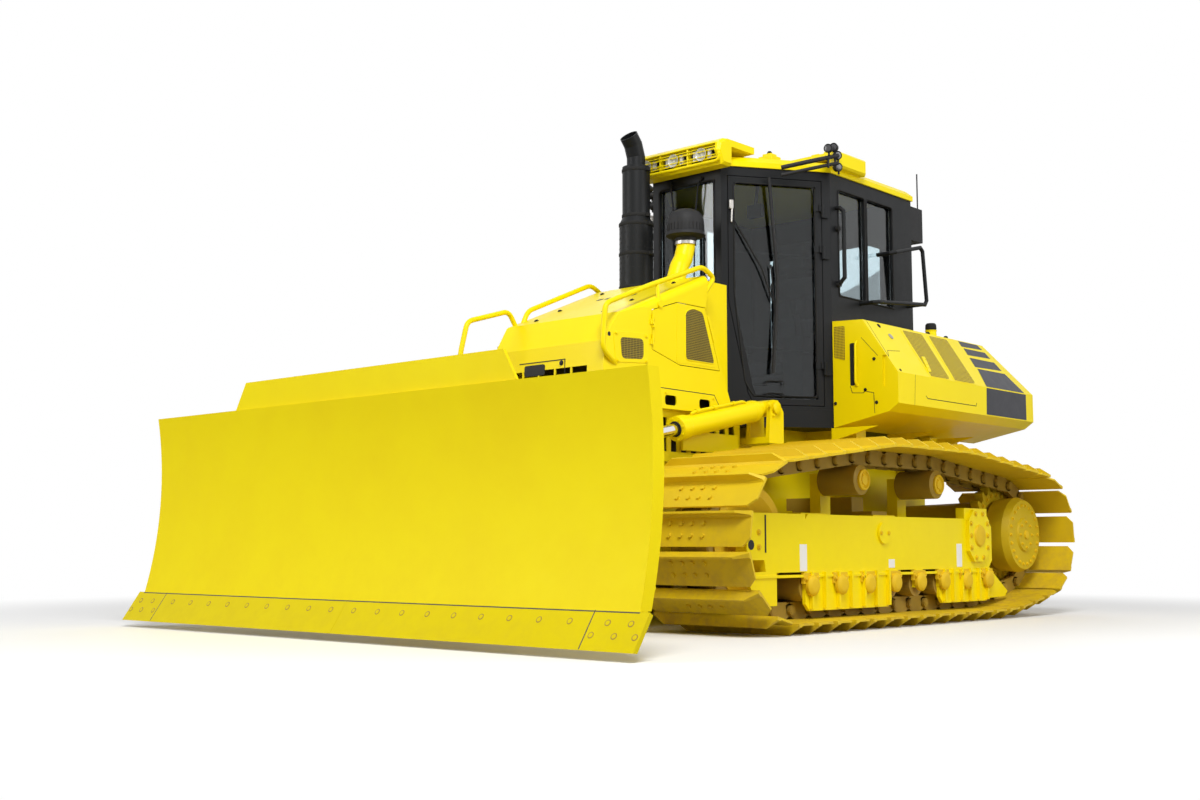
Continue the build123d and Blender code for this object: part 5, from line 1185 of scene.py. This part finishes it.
def makeBoxPanels(trim, side, sheet, frames):
    # mesh sheets in their frames on the sloping face
    out = slantOut(side)
    floor, head, foot = trim["panelZs"]
    for panel in trim["panels"]:
        addPanel(sheet, slantLine([(x, max(z, floor)) for x, z in panel], side), out, 0.0022, 0.0012, 0.018)
        wide = ((panel[0][0] + 0.022, head), (panel[1][0] - 0.022, head), (panel[2][0] - 0.02, foot),
                (panel[4][0] + 0.02, foot), (panel[5][0] + 0.022, panel[5][1]))
        addPanel(frames, slantLine(wide, side), out, 0.0002, 0.0022, 0.018)
    addPanel(frames, slantLine(trim["latch"], side), out, 0.002, 0.006, 0.006)
    addBolts(frames, slantLine(trim["latchBolts"], side, 0.008), out, 0.005, 0.005)


def makeBoxTrim(trim):
    front, wall, ahead = trim["front"], trim["foot"][0], (1, 0, 0)
    for name, side in sides:
        out, flat = slantOut(side), Vector((0, side, 0))

        def frontLine(points):
            return [at(front, y * side, z) for y, z in points]

        def wallLine(points):
            return [at(x, wall * side, z) for x, z in points]

        sheet, frames, dark, marks, lamp = (bmesh.new() for _ in range(5))
        makeBoxPanels(trim, side, sheet, frames)
        for stripe in trim["stripes"]:
            addPanel(dark, slantLine(stripe, side), out, 0.0, 0.0008, 0.004)
        addPanel(dark, wallLine(trim["lowStripe"]), flat, 0.0, 0.0008, 0.004)
        addPanel(sheet, frontLine(trim["frontMesh"]), ahead, 0.0003, 0.0012, 0.014)
        # a dark patch of painted shade where the slot is
        addPanel(marks, frontLine(trim["frontSlot"]), ahead, 0.0, 0.001, 0.012)
        addTube(frames, [at(front, 0.909 * side, 1.81), at(front + 0.02, 0.911 * side, 1.79),
                         at(front + 0.02, 0.907 * side, 1.54), at(front, 0.906 * side, 1.515)], 0.008, 0.012)
        addBolts(marks, frontLine(trim["frontBolts"]), ahead, 0.008, 0.008)
        for points, width in trim["frontSeams"]:
            addSeam(marks, frontLine(points), ahead, width)
        addSeam(marks, slantLine(trim["slantSeam"], side), out, 0.004)
        for points, width in trim["wallSeams"]:
            addSeam(marks, wallLine(points), flat, width)
        for x, z, radius, tip, segments in trim["plugs"]:
            addRod(marks, slantPoint(x, z, side, -0.001), slantPoint(x, z, side, 0.003), radius, tip,
                   segments)
        addTurned(lamp, [(0, 0), (0, 0.022), (0.005, 0.022), (0.008, 0.012), (0.009, 0)],
                  slantPoint(*trim["lock"], side), out, 24)
        putPiece(sheet, "box_mesh_" + name, "chassis", "boxMesh", smooth=False)
        putPiece(frames, "box_frames_" + name, "chassis", "yellowPaint", bevel=0.001)
        putPiece(dark, "box_stripes_" + name, "chassis", "stripePaint", smooth=False)
        putPiece(marks, "box_marks_" + name, "chassis", "rubber", smooth=False)
        putPiece(lamp, "box_lock_" + name, "chassis", "bareSteel")


def makeFiller(trim):
    neck, cap = bmesh.new(), bmesh.new()
    (x, y), up = trim["filler"], (0, 0, 1)
    addTurned(neck, [(0, 0), (0, 0.052), (0.01, 0.052), (0.014, 0.04), (0.045, 0.038), (0.05, 0.042),
                     (0.055, 0.042), (0.056, 0)], at(x, y, 1.952), up, 36)
    addTurned(cap, [(0, 0), (0, 0.036), (0.012, 0.04), (0.04, 0.038), (0.05, 0.03), (0.052, 0)],
              at(x, y, 2.007), up, 36)
    for x, y in trim["vents"]:
        addTurned(cap, [(0, 0), (0, 0.014), (0.02, 0.016), (0.028, 0.01), (0.03, 0)], at(x, y, 1.95), up, 18)
    putPiece(neck, "filler_neck", "chassis", "yellowPaint")
    putPiece(cap, "filler_cap", "chassis", "rubber")


makeBoxTrim(boxTrim)
makeFiller(boxTrim)
print("boxes made")

linkTrim = {
    "rear": (2.05, 0.57, 1.345), "front": (3.92, 0.57, 0.96), "showing": 1.02, "rearHalf": 0.1,
    "bracketBolts": ((2.075, 1.297), (2.12, 1.36)), "bracket": ((2.2, 2.76), 0.472, (1.05, 1.17)),
    "armPlate": ((2.6, 3.5), 0.601, (0.5, 0.65)), "armBolts": (2.65, 3.05, 3.45), "armPinOut": 0.6995,
    "angleRear": (3.28, 0.55, 0.775), "angleFront": (4.34, 0.62, 0.775),
    "pinCap": [(0, 0), (0, 0.04), (0.008, 0.04), (0.014, 0.026), (0.014, 0)],
}


def endsOf(trim, first, last, side):
    # both ends of a cylinder and the way from one to the other
    rear, front = (mirrored(at(*trim[end]), side) for end in (first, last))
    return rear, front, (front - rear).normalized()


def makeLiftHead(trim, name, side):
    rear, front, way = endsOf(trim, "rear", "front", side)
    head = front - way * trim["showing"]
    body = "lift_barrel_body_" + name
    bm = bmesh.new()
    addTurned(bm, [(-0.062, 0.07), (-0.062, 0.0748), (-0.055, 0.0755), (-0.008, 0.0755), (0.0, 0.0748),
                   (0.021, 0.072), (0.024, 0.05), (0.024, 0.037)], head, way, 40)
    boltRing(bm, head + way * 0.0195, way, 0.06, 8, 0.007, 0.2, 0.008)
    addTurned(bm, [(0.0, 0.06), (0.0, 0.069), (0.02, 0.071), (0.04, 0.067), (0.04, 0.06)], rear + way * 0.12,
              way, 40)
    up = Vector((0, side * 0.3, 1)).normalized()
    start = rear + way * 0.22 + up * 0.082
    end = head - way * 0.1 + up * 0.086
    addTube(bm, [start - up * 0.02, start + way * 0.03, end - way * 0.03, end - up * 0.012], 0.0095, 0.03)
    for share in (0.25, 0.6, 0.9):
        addTurned(bm, [(-0.011, 0.011), (-0.011, 0.014), (0.011, 0.014), (0.011, 0.011)],
                  start.lerp(end, share), way, 16)
    putPiece(bm, "lift_head_" + name, body, "yellowPaint", bevel=0.001)
    bm = bmesh.new()  # wiper seal at the mouth
    addTurned(bm, [(0.02, 0.0365), (0.02, 0.048), (0.03, 0.046), (0.033, 0.0365)], head, way, 32)
    putPiece(bm, "lift_seal_" + name, body, "rubber")


def makeLiftPins(trim, name, side):
    outward = (0, side, 0)
    x, y, z = trim["rear"]
    bm = bmesh.new()
    for turn in (1, -1):
        addTurned(bm, trim["pinCap"], at(x, (y + trim["rearHalf"] * turn) * side, z), (0, turn * side, 0), 28)
    addBolts(bm, [at(px, 0.66 * side, pz) for px, pz in trim["bracketBolts"]], outward, 0.011, 0.011)
    xs, y, zs = trim["bracket"]
    addSlab(bm, xs, y * side, 0.008, zs)
    putPiece(bm, "lift_pins_" + name, "chassis", "yellowPaint", bevel=0.0015)
    x, y, z = trim["front"]
    bm = bmesh.new()
    addTurned(bm, trim["pinCap"], at(x, trim["armPinOut"] * side, z), outward, 28)
    boltRing(bm, at(x, 0.708 * side, z), outward, 0.026, 3, 0.006)
    xs, y, zs = trim["armPlate"]
    addSlab(bm, xs, y * side, 0.004, zs)
    addBolts(bm, [at(px, 0.605 * side, 0.575) for px in trim["armBolts"]], outward, 0.012, 0.01)
    putPiece(bm, "push_arm_trim_" + name, "push_frame", "yellowPaint", bevel=0.0015)


def makeAngleHead(trim, name, side):
    rear, _, way = endsOf(trim, "angleRear", "angleFront", side)
    bm = bmesh.new()
    addTurned(bm, [(-0.05, 0.038), (-0.05, 0.043), (0.0, 0.043), (0.006, 0.04), (0.006, 0.026)],
              rear + way * 0.7, way, 32)
    pipe = ((0.12, 0.045), (0.16, 0.058), (0.6, 0.058), (0.66, 0.045))
    addTube(bm, [rear + way * along + Vector((0, 0, lift)) for along, lift in pipe], 0.008, 0.02)
    putPiece(bm, "angle_head_" + name, "angle_barrel_body_" + name, "yellowPaint")


def makeLiftKit(trim):
    for name, side in sides:
        makeLiftHead(trim, name, side)
        makeLiftPins(trim, name, side)
        makeAngleHead(trim, name, side)


makeLiftKit(linkTrim)
print("linkage made")

rearTrim = {"grille": (-0.33, 0.62, 1.035, 1.865), "grilleBolts": (-0.58, 0.0, 0.58),
            "latch": ((0.0, 1.5), (-0.03, 1.5), (-0.03, 1.34), (0.0, 1.34)), "latchY": -0.59,
            "lamps": ((0.45, 1.94), (-0.45, 1.94)), "lampX": -0.25, "steps": (0.62, 0.8),
            "hullBolts": (-0.2, 0.05, 0.3), "gussets": (0.2, 0.8, 1.5)}


def makeGrille(trim):
    x, half, low, high = trim["grille"]
    back = (-1, 0, 0)
    bm = bmesh.new()
    for side in (1, -1):
        inner, outer, foot, top = 0.045 * side, (half - 0.065) * side, low + 0.055, high - 0.055
        corners = ((inner, foot), (outer, foot), (outer, top), (inner, top))
        addPanel(bm, [at(x + 0.004, y, z) for y, z in corners], back, -0.008, 0.0012, 0.02)
    putPiece(bm, "grille_mesh", "rear_grille_body", "hoodMesh", smooth=False)
    bm = bmesh.new()
    for y in trim["grilleBolts"]:
        addBolts(bm, [at(x - 0.0005, y, z) for z in (low + 0.025, high - 0.025)], back, 0.01, 0.009)
    addTube(bm, [at(x + dx, trim["latchY"], z) for dx, z in trim["latch"]], 0.008, 0.02)
    putPiece(bm, "grille_latch", "rear_grille_body", "blackPaint")


def makeRear(trim):
    makeGrille(trim)
    bodies, lenses = bmesh.new(), bmesh.new()
    x = trim["lampX"]
    for y, z in trim["lamps"]:
        addWorkLamp(bodies, lenses, at(x, y, z), (-1, 0, -0.1), 0.045)
        addRod(bodies, at(x, y, 1.9), at(x, y, z - 0.02), 0.012)
    for side in (1, -1):  # ladder of grab steps on the hull
        for z in trim["steps"]:
            addTube(bodies, [at(-0.302, 0.2 * side, z), at(-0.345, 0.2 * side, z), at(-0.345, 0.34 * side, z),
                             at(-0.302, 0.34 * side, z)], 0.01, 0.02)
    putPiece(bodies, "rear_lamps", "chassis", "blackPlastic")
    putPiece(lenses, "rear_lamp_glass", "chassis", "lampGlass")
    bm = bmesh.new()
    for y in (-0.3, 0.3):
        addBolts(bm, [at(-0.3, y * 0.6, z) for z in (0.6, 0.72, 0.9)], (-1, 0, 0), 0.014, 0.012)
    for side in (1, -1):
        addBolts(bm, [at(px, 0.6605 * side, 1.86) for px in trim["hullBolts"]], (0, side, 0), 0.01, 0.009)
        for px in trim["gussets"]:  # gussets under the boxes
            corners = ((0.73, 1.1605), (1.08, 1.245), (0.73, 1.245))
            addPlate(bm, [at(px, y * side, z) for y, z in corners], 0.014, (1, 0, 0))
    putPiece(bm, "rear_bolts", "chassis", "yellowPaint")


makeRear(rearTrim)
print("rear made")
